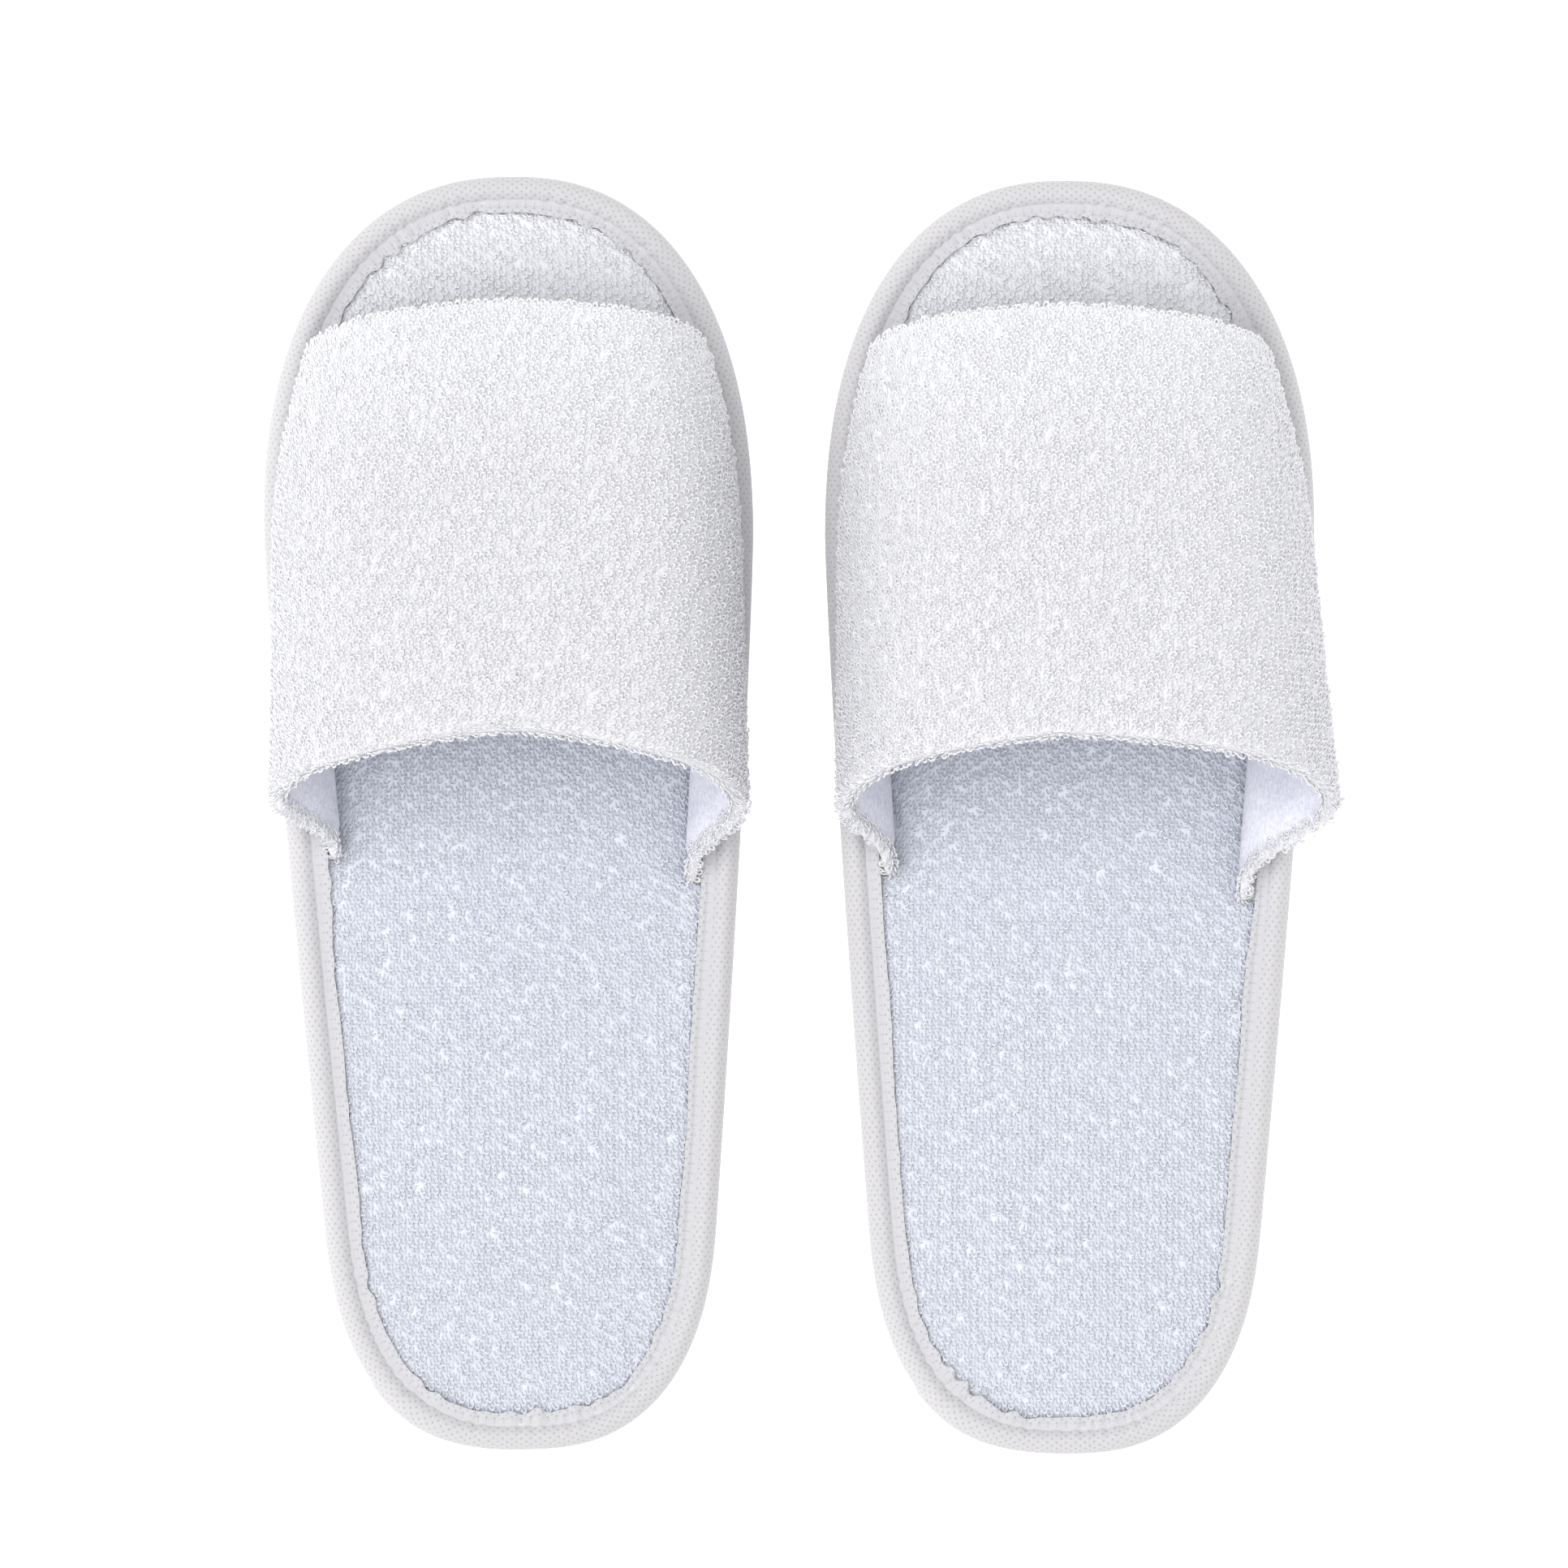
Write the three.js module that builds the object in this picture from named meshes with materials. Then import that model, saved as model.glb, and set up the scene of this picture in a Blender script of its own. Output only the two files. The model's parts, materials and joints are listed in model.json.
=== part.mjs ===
// A pair of open-toe terry spa slippers, made as a slipper factory makes them: a layered soft sole, a
// padded upper whose side margins are caught in the sole's edge seam, and a nonwoven tape folded over
// that edge and lockstitched through every layer.
//
// Millimetres, +Z up. +Y runs from the heels to the toes and +X to the wearer's right. The origin is at
// the bottom centre of the pair's box, on the surface that both soles stand on.

import * as THREE from 'three';

// ---- Sole outline -------------------------------------------------------------------------------
const soleLength = 286;
const ballHalfWidth = 55;
const heelHalfWidth = 44.2;
const toeCapLength = 80; // toe tip to the widest line across the ball
const heelCapLength = 52; // start of the heel's round to the heel's back
const toeRoundness = 2.3; // superellipse exponent of each end
const heelRoundness = 2.6;
const waistCurve = 1.2; // how late the taper from ball to heel sets in
const toeLean = 1.2; // how far the toe tip leans towards the other slipper
const toeSteps = 9;
const waistSteps = 5;
const heelSteps = 8;

// ---- Sole layers --------------------------------------------------------------------------------
const layerGap = 0.3; // clearance between pieces that lie on each other
const outsoleThickness = 4.2;
const boardThickness = 0.8;
const padThickness = 3.6;
const padSeamThickness = 0.8; // where the edge seam squeezes it
const insoleCoverThickness = 1;
const squeezeRun = 1.5; // the layers stay squeezed flat this far past the upper's crease
const crownRun = 6.5; // and reach full height over this much more

// ---- Edge binding and its lockstitch --------------------------------------------------------------
const tapeThickness = 0.6;
const tapeTopWidth = 8.2; // edge of the sole to the tape's free edge on top
const tapeUnderWidth = 8; // and underneath
const tapeRollHeight = 1.6; // rolled rim above the stitch valley
const tapeFlangeHeight = 1.2; // free edge above the stitch valley
const stitchInset = 5.8;
const stitchValleyWidth = 1.6;
const underValleyDepth = 0.8; // hollow that keeps the lower thread off the floor
const rollShoulderShare = 0.4; // how much of the rolled rim is its round shoulder
const threadThickness = 0.4;
const underThreadLift = 0.1; // lower thread off the floor

// ---- Upper --------------------------------------------------------------------------------------
const frontMiddle = 27; // toe tip to the middle of the upper's front edge
const frontSweep = 17; // the front edge's ends lie this much further back
const throatMiddle = 127; // toe tip to the middle of the throat edge
const sweepCurve = 1.38; // how late the edges' sweep sets in from the middle
const sweepReach = 0.8; // the share of the way down to the creases by which it is complete
const frontRise = 30; // arch above the seam at the front edge
const throatRise = 50; // and at the throat
const foamThickness = 2.5;
const upperCoverThickness = 1.6;
const liningThickness = 1;
const hemDepth = 5.5; // how far the outer cloth turns in over each open edge
const hemGap = 0.8; // groove between the turned-in cloth and the lining
const marginAllowance = 1.4; // the caught margin reaches this far past the stitches
const creaseClearance = 1.8; // tape's free edge to the crease where the wall rises
const creaseRun = 2; // the margin starts to turn up this far before the crease
const creaseLift = 1.4; // height of the crease above the margin
const wallFoot = 5; // and of the foot of the wall
const bulgeHeight = 0.45; // share of the rise where the wall is widest
const shoulderHeight = 0.87;
const shoulderWidth = 0.76; // share of the widest half width
const marginSqueeze = 0.2; // share of the full thickness left inside the seam
const fullFrom = 4; // control points from the margin to where the upper is at full thickness
const frontOverhang = -3; // side wall past the sole's edge, beside the toes
const overhangStart = 49; // toe tip to where that overhang begins to grow
const overhangEnd = 135;
const overhangCurve = 1.2; // how late it grows
const archSteps = [1, 1, 1, 2, 2, 3]; // facets between control points, seam to crown
const lengthShares = [0.17, 0.27, 0.4, 0.62]; // facet lines from the front edge to the throat
const edgeSteps = 4; // facets round each open edge
const slopeStep = 0.5; // distance along the outline over which its slope is measured
const normalStep = 0.004; // share of the upper over which its normal is measured

// ---- The pair -------------------------------------------------------------------------------------
const centreDistance = 124.5;
const slippers = [
  {
    name: 'left', side: -1, toeOut: 1, setBack: 0, lateralOverhang: 4, medialOverhang: 2.4,
    lateralSweep: 28, medialSweep: 34.5, lateralCurve: 1.38,
  },
  {
    name: 'right', side: 1, toeOut: 0.4, setBack: 0.9, lateralOverhang: 9.8, medialOverhang: 1.8,
    lateralSweep: 36.5, medialSweep: 31.5, lateralCurve: 1.8,
  },
];

// Insets that follow from the binding.
const marginInset = stitchInset - marginAllowance;
const creaseInset = tapeTopWidth + creaseClearance;
const squeezeInset = creaseInset + squeezeRun;
const crownInset = squeezeInset + crownRun;

// Heights that follow from the layers, bottom to top.
const underTapeTop = underValleyDepth + tapeThickness;
const rebateCeiling = underTapeTop + layerGap;
const boardBottom = outsoleThickness + layerGap;
const padBottom = boardBottom + boardThickness + layerGap;
const padSeamTop = padBottom + padSeamThickness;
const coverSeamTop = padSeamTop + layerGap + insoleCoverThickness;
const padTop = padBottom + padThickness;
const coverTop = padTop + layerGap + insoleCoverThickness;
const upperHalfThickness = foamThickness / 2 + layerGap + upperCoverThickness;
const marginMiddle = coverSeamTop + layerGap + upperHalfThickness * marginSqueeze;
const valleyBottom = marginMiddle + upperHalfThickness * marginSqueeze + layerGap;
const valleyTop = valleyBottom + tapeThickness;
const layerInset = tapeThickness + layerGap * 2;

const materials = {
  outsole: finish(0xe9e9e6, 0.75),
  board: finish(0xd9cfbd, 0.9),
  foam: finish(0xf2efe4, 0.95),
  insole: finish(0xdfe4f0, 1),
  terry: finish(0xf7f7f9, 1),
  lining: finish(0xf1f1f6, 1),
  tape: finish(0xf0eeea, 0.85),
  thread: finish(0xcfcdc8, 0.7),
};

function finish(color, roughness) {
  return new THREE.MeshStandardMaterial({ color, roughness, metalness: 0 });
}

function mix(from, to, share) {
  return from + (to - from) * share;
}

// ---- Solids from loops ----------------------------------------------------------------------------

function signedArea(points) {
  return THREE.ShapeUtils.area(points);
}

// Joins loops of equal length into one closed skin. With capPlan, the loops' flat layout as Vector2s,
// the first and last loop are capped; without it the last loop joins the first.
function skin(loops, capPlan) {
  const size = loops[0].length;
  const index = [];
  const spans = capPlan ? loops.length - 1 : loops.length;
  for (let i = 0; i < spans; i += 1) {
    const near = i * size;
    const far = ((i + 1) % loops.length) * size;
    for (let j = 0; j < size; j += 1) {
      const next = (j + 1) % size;
      index.push(near + j, near + next, far + next, near + j, far + next, far + j);
    }
  }
  if (capPlan) {
    const turn = Math.sign(signedArea(capPlan));
    const lastLoop = (loops.length - 1) * size;
    for (const [a, b, c] of THREE.ShapeUtils.triangulateShape(capPlan, [])) {
      const along = Math.sign(signedArea([capPlan[a], capPlan[b], capPlan[c]])) === turn;
      const [p, q, r] = along ? [a, b, c] : [a, c, b];
      index.push(lastLoop + p, lastLoop + q, lastLoop + r, r, q, p);
    }
  }
  const points = loops.flat();
  const geometry = new THREE.BufferGeometry().setFromPoints(points);
  geometry.setIndex(facingOut(points, index));
  geometry.computeVertexNormals();
  return geometry;
}

// Turns every triangle round if they enclose a negative volume.
function facingOut(points, index) {
  let volume = 0;
  for (let i = 0; i < index.length; i += 3) {
    const [a, b, c] = [points[index[i]], points[index[i + 1]], points[index[i + 2]]];
    volume += a.dot(b.clone().cross(c));
  }
  return volume > 0 ? index : index.reverse();
}

// ---- Sole outline -------------------------------------------------------------------------------

function taperedHalfWidth(fromToe) {
  const waistLength = soleLength - heelCapLength - toeCapLength;
  const share = Math.max(fromToe - toeCapLength, 0) / waistLength;
  return ballHalfWidth - (ballHalfWidth - heelHalfWidth) * share ** waistCurve;
}

// Half the sole's width at a distance from the toe tip.
function halfWidthAt(fromToe) {
  const beforeBall = Math.max(toeCapLength - fromToe, 0) / toeCapLength;
  const pastWaist = Math.max(fromToe - soleLength + heelCapLength, 0) / heelCapLength;
  const toe = (1 - beforeBall ** toeRoundness) ** (1 / toeRoundness);
  const heel = (1 - pastWaist ** heelRoundness) ** (1 / heelRoundness);
  return taperedHalfWidth(fromToe) * toe * heel;
}

function middleLine(side, fromToe) {
  const beforeBall = Math.max(toeCapLength - fromToe, 0) / toeCapLength;
  return -side * toeLean * beforeBall ** 2;
}

// Distances from the toe tip of the outline's stations, closer together where it turns.
function outlineStations() {
  const quarter = Math.PI / 2;
  const stations = [];
  for (let i = 0; i <= toeSteps; i += 1) {
    stations.push(toeCapLength * (1 - Math.cos((i / toeSteps) * quarter) ** (2 / toeRoundness)));
  }
  for (let i = 1; i < waistSteps; i += 1) {
    stations.push(mix(toeCapLength, soleLength - heelCapLength, i / waistSteps));
  }
  for (let i = heelSteps; i >= 0; i -= 1) {
    const reach = 1 - Math.cos((i / heelSteps) * quarter) ** (2 / heelRoundness);
    stations.push(soleLength - heelCapLength * reach);
  }
  return stations;
}

// The sole's edge as a closed loop of { place, inward }, toe tip first and down the +X side.
function soleOutline(side) {
  const stations = outlineStations();
  const edge = (fromToe, across) => new THREE.Vector2(
    middleLine(side, fromToe) + across * halfWidthAt(fromToe),
    soleLength / 2 - fromToe,
  );
  const down = stations.map((fromToe) => edge(fromToe, 1));
  const up = stations.slice(1, -1).reverse().map((fromToe) => edge(fromToe, -1));
  const places = [...down, ...up];
  return places.map((place, i) => {
    const before = places[(i + places.length - 1) % places.length];
    const after = places[(i + 1) % places.length];
    const along = after.clone().sub(before).normalize();
    return { place, inward: new THREE.Vector2(along.y, -along.x) };
  });
}

// One ring of a sole piece: the outline moved in by inset, at a height.
function soleRing(outline, [inset, height]) {
  return outline.map(({ place, inward }) => {
    const flat = place.clone().addScaledVector(inward, inset);
    return new THREE.Vector3(flat.x, flat.y, height);
  });
}

// A sole layer from its section, a list of [inset, height] from its underside to its top.
function soleLayer(outline, section) {
  return skin(section.map((point) => soleRing(outline, point)), outline.map(({ place }) => place));
}

// A ring that runs round the edge: its section closes on itself.
function edgeRing(outline, section) {
  return skin(section.map((point) => soleRing(outline, point)), null);
}

// ---- Sole pieces --------------------------------------------------------------------------------

function outsole(outline) {
  const rebate = tapeUnderWidth + layerGap;
  return soleLayer(outline, [
    [rebate, 0],
    [rebate, rebateCeiling],
    [layerInset, rebateCeiling],
    [layerInset, outsoleThickness],
  ]);
}

function insoleBoard(outline) {
  return soleLayer(outline, [
    [layerInset, boardBottom],
    [layerInset, boardBottom + boardThickness],
  ]);
}

function insolePad(outline) {
  return soleLayer(outline, [
    [layerInset, padBottom],
    [layerInset, padSeamTop],
    [squeezeInset, padSeamTop],
    [crownInset, padTop],
  ]);
}

function insoleCover(outline) {
  return soleLayer(outline, [
    [crownInset, padTop + layerGap],
    [squeezeInset, padSeamTop + layerGap],
    [layerInset, padSeamTop + layerGap],
    [layerInset, coverSeamTop],
    [squeezeInset, coverSeamTop],
    [crownInset, coverTop],
  ]);
}

function edgeBinding(outline) {
  const valleyOuter = stitchInset - stitchValleyWidth / 2;
  const valleyInner = stitchInset + stitchValleyWidth / 2;
  const rollTop = valleyTop + tapeRollHeight;
  const flangeTop = valleyTop + tapeFlangeHeight;
  const rollShoulder = valleyOuter * rollShoulderShare;
  return edgeRing(outline, [
    [tapeUnderWidth, 0],
    [valleyInner, 0],
    [stitchInset, underValleyDepth],
    [valleyOuter, 0],
    [rollShoulder, 0],
    [0, rollShoulder],
    [0, rollTop - rollShoulder],
    [rollShoulder, rollTop],
    [valleyOuter, valleyTop + tapeThickness],
    [stitchInset, valleyTop],
    [tapeTopWidth, flangeTop],
    [tapeTopWidth, flangeTop - tapeThickness],
    [stitchInset, valleyBottom],
    [valleyOuter, valleyBottom + tapeThickness],
    [rollShoulder + tapeThickness / 2, rollTop - tapeThickness],
    [tapeThickness, rollTop - rollShoulder - tapeThickness / 2],
    [tapeThickness, rollShoulder + tapeThickness / 2],
    [rollShoulder + tapeThickness / 2, tapeThickness],
    [valleyOuter, tapeThickness],
    [stitchInset, underTapeTop],
    [valleyInner, tapeThickness],
    [tapeUnderWidth, tapeThickness],
  ]);
}

// A run of lockstitch thread, a three-sided strand that rises from its foot.
function seamThread(outline, foot) {
  return edgeRing(outline, [
    [stitchInset - threadThickness / 2, foot],
    [stitchInset, foot + threadThickness],
    [stitchInset + threadThickness / 2, foot],
  ]);
}

// ---- Upper --------------------------------------------------------------------------------------

// The overhang of one side wall past the sole's edge.
function overhangAt(fromToe, throatOverhang) {
  const share = (fromToe - overhangStart) / (overhangEnd - overhangStart);
  return mix(frontOverhang, throatOverhang, Math.max(share, 0) ** overhangCurve);
}

function riseAt(fromToe) {
  const share = THREE.MathUtils.clamp((fromToe - frontMiddle) / (throatMiddle - frontMiddle), 0, 1);
  return mix(frontRise, throatRise, Math.sin((share * Math.PI) / 2));
}

// A point near the sole's edge: moved in from the edge, square to it, by inset.
function nearEdge(slipper, fromToe, across, inset, height) {
  const step = slopeStep;
  const slope = (halfWidthAt(fromToe + step) - halfWidthAt(fromToe - step)) / (2 * step);
  const inward = new THREE.Vector2(-1, slope).normalize();
  const half = halfWidthAt(fromToe) + inward.x * inset;
  const moved = fromToe + inward.y * inset;
  return new THREE.Vector3(middleLine(slipper.side, moved) + across * half, moved, height);
}

// Control points of one half of the upper's arch, from the margin in the seam up to the shoulder.
// Here y is still the distance from the toe tip.
function halfArch(slipper, fromToe, across) {
  const overhang = across === slipper.side ? slipper.lateralOverhang : slipper.medialOverhang;
  const rise = riseAt(fromToe);
  const widest = halfWidthAt(fromToe) + overhangAt(fromToe, overhang) - upperHalfThickness;
  const middle = middleLine(slipper.side, fromToe);
  return [
    nearEdge(slipper, fromToe, across, marginInset, marginMiddle),
    nearEdge(slipper, fromToe, across, creaseInset - creaseRun, marginMiddle),
    nearEdge(slipper, fromToe, across, creaseInset, marginMiddle + creaseLift),
    nearEdge(slipper, fromToe, across, creaseInset, marginMiddle + wallFoot),
    new THREE.Vector3(middle + across * widest, fromToe, marginMiddle + rise * bulgeHeight),
    new THREE.Vector3(
      middle + across * widest * shoulderWidth,
      fromToe,
      marginMiddle + rise * shoulderHeight,
    ),
  ];
}

// The whole arch across the foot at a distance from the toe tip.
function archCurve(slipper, fromToe) {
  const crown = new THREE.Vector3(
    middleLine(slipper.side, fromToe),
    fromToe,
    marginMiddle + riseAt(fromToe),
  );
  const points = [
    ...halfArch(slipper, fromToe, -1),
    crown,
    ...halfArch(slipper, fromToe, 1).reverse(),
  ];
  return new THREE.CatmullRomCurve3(points, false, 'centripetal');
}

// Positions across the arch, 0 to 1 from the -X margin to the +X margin.
function archStations() {
  const spans = [...archSteps, ...archSteps.slice().reverse()];
  const stations = [0];
  spans.forEach((steps, span) => {
    for (let i = 1; i <= steps; i += 1) stations.push((span + i / steps) / spans.length);
  });
  return stations;
}

// How much of its full thickness the upper keeps: squeezed in the seam, full from the wall up.
function thicknessShare(across) {
  const fromMargin = (0.5 - Math.abs(across - 0.5)) * archSteps.length * 2;
  return mix(marginSqueeze, 1, THREE.MathUtils.smoothstep(fromMargin, 1, fullFrom));
}

// Distance from the toe tip of the upper's front and throat edges, at a position across the arch.
// The throat's ends lie further back than its middle by a sweep of their own on each side.
function upperSpan(slipper, across) {
  const crease = 1 - 2 / archSteps.length;
  const out = Math.min(Math.abs(across - 0.5) * 2 / (crease * sweepReach), 1);
  const lateral = (across - 0.5) * slipper.side > 0;
  const sweep = lateral ? slipper.lateralSweep : slipper.medialSweep;
  const curve = lateral ? slipper.lateralCurve : sweepCurve;
  return {
    front: frontMiddle + frontSweep * out ** sweepCurve,
    throat: throatMiddle + sweep * out ** curve,
  };
}

// A point of the upper's middle surface. along is 0 at the front edge and 1 at the throat.
function upperSurface(slipper, along, across) {
  const { front, throat } = upperSpan(slipper, across);
  return archCurve(slipper, mix(front, throat, along)).getPoint(across);
}

// A point of the upper, given as a distance from its middle surface, in sole coordinates.
function upperPoint(slipper, along, across, offset) {
  const step = normalStep;
  const back = upperSurface(slipper, along - step, across);
  const forth = upperSurface(slipper, along + step, across);
  const west = upperSurface(slipper, along, Math.max(across - step, 0));
  const east = upperSurface(slipper, along, Math.min(across + step, 1));
  const normal = east.sub(west).cross(forth.sub(back)).normalize();
  const point = upperSurface(slipper, along, across);
  point.addScaledVector(normal, offset * thicknessShare(across));
  point.y = soleLength / 2 - point.y;
  return point;
}

// Section points of an upper layer, each { along, offset }: along turns the length between the two
// open edges into a share of it, here from a depth in millimetres from the front or throat edge.
const atFront = (depth, offset) => ({ along: (length) => depth / length, offset });
const atThroat = (depth, offset) => ({ along: (length) => 1 - depth / length, offset });

// The points between the hems, from front to throat.
function between(offset) {
  return lengthShares.map((share) => ({ along: () => share, offset }));
}

// The points between the round edges: the same, with a facet line where each hem ends.
function fullLength(offset) {
  return [atFront(hemDepth, offset), ...between(offset), atThroat(hemDepth, offset)];
}

// A layer of the upper: its section, which runs round in the front-to-throat direction, swept across
// the foot from margin to margin.
function upperLayer(slipper, section) {
  const loops = archStations().map((across) => {
    const { front, throat } = upperSpan(slipper, across);
    return section.map(({ along, offset }) => (
      upperPoint(slipper, along(throat - front), across, offset)
    ));
  });
  const { front, throat } = upperSpan(slipper, 0);
  const length = throat - front;
  const plan = section.map(({ along, offset }) => new THREE.Vector2(along(length) * length, offset));
  return skin(loops, plan);
}

// The round end of a wrapped edge, from the outer face to the inner one.
function roundEdge(at, radius, centre) {
  const points = [];
  for (let i = 0; i <= edgeSteps; i += 1) {
    const turn = (i / edgeSteps) * Math.PI;
    points.push(at(centre - radius * Math.sin(turn), radius * Math.cos(turn)));
  }
  return points;
}

function upperCover(slipper) {
  const outer = upperHalfThickness;
  const inner = outer - upperCoverThickness;
  return upperLayer(slipper, [
    ...fullLength(outer),
    ...roundEdge(atThroat, outer, outer),
    atThroat(hemDepth, -outer),
    atThroat(hemDepth, -inner),
    ...roundEdge(atThroat, inner, outer).reverse(),
    ...fullLength(inner).reverse(),
    ...roundEdge(atFront, inner, outer),
    atFront(hemDepth, -inner),
    atFront(hemDepth, -outer),
    ...roundEdge(atFront, outer, outer).reverse(),
  ]);
}

function upperFoam(slipper) {
  const half = foamThickness / 2;
  const end = upperHalfThickness - half + layerGap / 2;
  return upperLayer(slipper, [
    atFront(end, 0),
    atFront(upperHalfThickness, -half),
    ...fullLength(-half),
    atThroat(upperHalfThickness, -half),
    atThroat(end, 0),
    atThroat(upperHalfThickness, half),
    ...fullLength(half).reverse(),
    atFront(upperHalfThickness, half),
  ]);
}

function upperLining(slipper) {
  const outer = -foamThickness / 2 - layerGap;
  const end = hemDepth + hemGap;
  return upperLayer(slipper, [
    atFront(end, outer),
    ...between(outer),
    atThroat(end, outer),
    atThroat(end, outer - liningThickness),
    ...between(outer - liningThickness).reverse(),
    atFront(end, outer - liningThickness),
  ]);
}

// The seam that joins lining and turned-in cover, a strand in the groove where they meet.
function hemThread(slipper, at) {
  const outer = -foamThickness / 2 - layerGap - liningThickness - layerGap;
  return upperLayer(slipper, [
    at(hemDepth + layerGap, outer),
    at(hemDepth + layerGap + threadThickness, outer - threadThickness / 2),
    at(hemDepth + layerGap, outer - threadThickness),
  ]);
}

// ---- Assembly -----------------------------------------------------------------------------------

function makeSlipper(slipper) {
  const outline = soleOutline(slipper.side);
  const pieces = {
    outsole: [outsole(outline), materials.outsole],
    insole_board: [insoleBoard(outline), materials.board],
    insole_pad: [insolePad(outline), materials.foam],
    insole_cover: [insoleCover(outline), materials.insole],
    edge_binding: [edgeBinding(outline), materials.tape],
    seam_thread_top: [seamThread(outline, valleyTop + layerGap), materials.thread],
    seam_thread_under: [seamThread(outline, underThreadLift), materials.thread],
    upper_cover: [upperCover(slipper), materials.terry],
    upper_foam: [upperFoam(slipper), materials.foam],
    upper_lining: [upperLining(slipper), materials.lining],
    front_hem_thread: [hemThread(slipper, atFront), materials.thread],
    throat_hem_thread: [hemThread(slipper, atThroat), materials.thread],
  };
  const group = new THREE.Group();
  for (const [piece, [geometry, material]] of Object.entries(pieces)) {
    const mesh = new THREE.Mesh(geometry, material.clone());
    mesh.name = `${slipper.name}_${piece}`;
    group.add(mesh);
  }
  group.rotation.z = THREE.MathUtils.degToRad(-slipper.side * slipper.toeOut);
  group.position.set((slipper.side * centreDistance) / 2, -slipper.setBack, 0);
  return group;
}

const pair = new THREE.Group();
for (const slipper of slippers) pair.add(makeSlipper(slipper));

// Sets the pair's own box centre over the origin.
const box = new THREE.Box3().setFromObject(pair, true);
for (const slipper of pair.children) {
  slipper.position.x -= (box.min.x + box.max.x) / 2;
  slipper.position.y -= (box.min.y + box.max.y) / 2;
}

export default pair;
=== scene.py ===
# A pair of open-toe terry spa slippers: the looks of each piece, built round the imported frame.
# Each slipper is shaped in its own millimetres, +Y towards the toes, and then set in its place.

import json
import math

import bpy
import numpy as np
from mathutils import Matrix, Vector
from mathutils.bvhtree import BVHTree
from mathutils.kdtree import KDTree

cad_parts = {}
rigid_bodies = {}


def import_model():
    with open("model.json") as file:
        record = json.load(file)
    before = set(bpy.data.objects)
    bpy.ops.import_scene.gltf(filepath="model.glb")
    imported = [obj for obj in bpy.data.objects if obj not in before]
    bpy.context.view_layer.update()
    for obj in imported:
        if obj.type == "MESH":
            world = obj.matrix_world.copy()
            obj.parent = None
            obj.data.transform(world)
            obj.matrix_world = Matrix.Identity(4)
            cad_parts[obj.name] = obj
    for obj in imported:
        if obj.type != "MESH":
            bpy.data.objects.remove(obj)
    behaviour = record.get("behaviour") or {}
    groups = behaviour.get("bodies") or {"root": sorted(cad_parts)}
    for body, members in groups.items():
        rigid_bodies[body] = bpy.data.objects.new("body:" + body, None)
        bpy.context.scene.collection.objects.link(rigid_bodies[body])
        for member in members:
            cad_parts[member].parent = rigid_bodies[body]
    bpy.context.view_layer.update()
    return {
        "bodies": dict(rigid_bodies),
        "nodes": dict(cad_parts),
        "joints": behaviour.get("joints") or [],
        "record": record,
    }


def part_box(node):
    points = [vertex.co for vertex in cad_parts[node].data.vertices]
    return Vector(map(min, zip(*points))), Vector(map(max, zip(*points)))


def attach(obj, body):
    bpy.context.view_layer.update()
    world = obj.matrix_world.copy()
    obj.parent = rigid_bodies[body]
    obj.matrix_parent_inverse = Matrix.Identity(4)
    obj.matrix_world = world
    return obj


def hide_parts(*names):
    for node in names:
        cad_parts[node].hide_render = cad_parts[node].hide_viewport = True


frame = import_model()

MM = 0.001

# ---- Sole, as the part's own sizes ----------------------------------------------------------------
SOLE_LENGTH = 286.0
BALL_HALF_WIDTH = 55.0
HEEL_HALF_WIDTH = 44.2
TOE_CAP_LENGTH = 80.0
HEEL_CAP_LENGTH = 52.0
TOE_ROUNDNESS = 2.3
HEEL_ROUNDNESS = 2.6
WAIST_CURVE = 1.2
TOE_LEAN = 1.2

OUTSOLE_TOP = 4.2
BOARD_HEIGHTS = (4.5, 5.3)
PAD_BOTTOM = 5.6
PAD_TOP = 9.2
LAYER_INSET = 1.2
STUDS_FROM_EDGE = 11.5

# ---- Terry: knitted ground cloth with loops standing on it ------------------------------------------
GROUND = 0.45
PILE = 0.9
STRAND = 0.2
INSOLE_COLUMN = 1.46
INSOLE_ROW = 1.8
UPPER_COLUMN = 1.46
UPPER_ROW = 1.36
# Width and height of one loop before it is tipped over.
INSOLE_LOOP = (1.24, 2.1)
UPPER_LOOP = (1.22, 1.8)
LOOP_SPREAD = (0.85, 1.15)
LOOP_FOOT = 0.25
LOOPS_FROM_EDGE = 7.2

# Insole tops, inset and height: free inside the tape, and held down along the upper's margins.
FREE_INSOLE = (
    [0, 5.8, 6.8, 8.0, 10, 12.5, 16, 20, 25, 32, 45],
    [7.3, 7.3, 8.5, 9.45, 10.05, 10.6, 11.2, 11.7, 12.15, 12.5, 12.6],
)
HELD_INSOLE = (
    [0, 10.0, 11.5, 14, 18, 22, 26, 32, 45],
    [7.2, 7.2, 7.4, 8.9, 10.4, 11.3, 12.0, 12.45, 12.6],
)

# ---- Edge binding ---------------------------------------------------------------------------------
TAPE_THICKNESS = 0.5
STITCH_INSET = 5.8
STITCH_PITCH = 3.9
VALLEY_HEIGHT = 10.1
# The tape's outer face from its lower edge round the rim to its free edge: inset, height.
TAPE_SECTION = [
    (8.0, 0.35), (6.9, 0.05), (5.8, 0.75), (4.8, 0.05), (2.4, 0.0), (0.8, 0.8), (0.1, 2.6),
    (0.0, 5.2), (0.1, 8.2), (0.7, 10.1), (2.0, 11.4), (3.5, 11.6), (4.8, 10.9), (5.7, VALLEY_HEIGHT),
    (6.5, 10.3), (7.4, 10.75), (8.3, 10.8),
]
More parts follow.
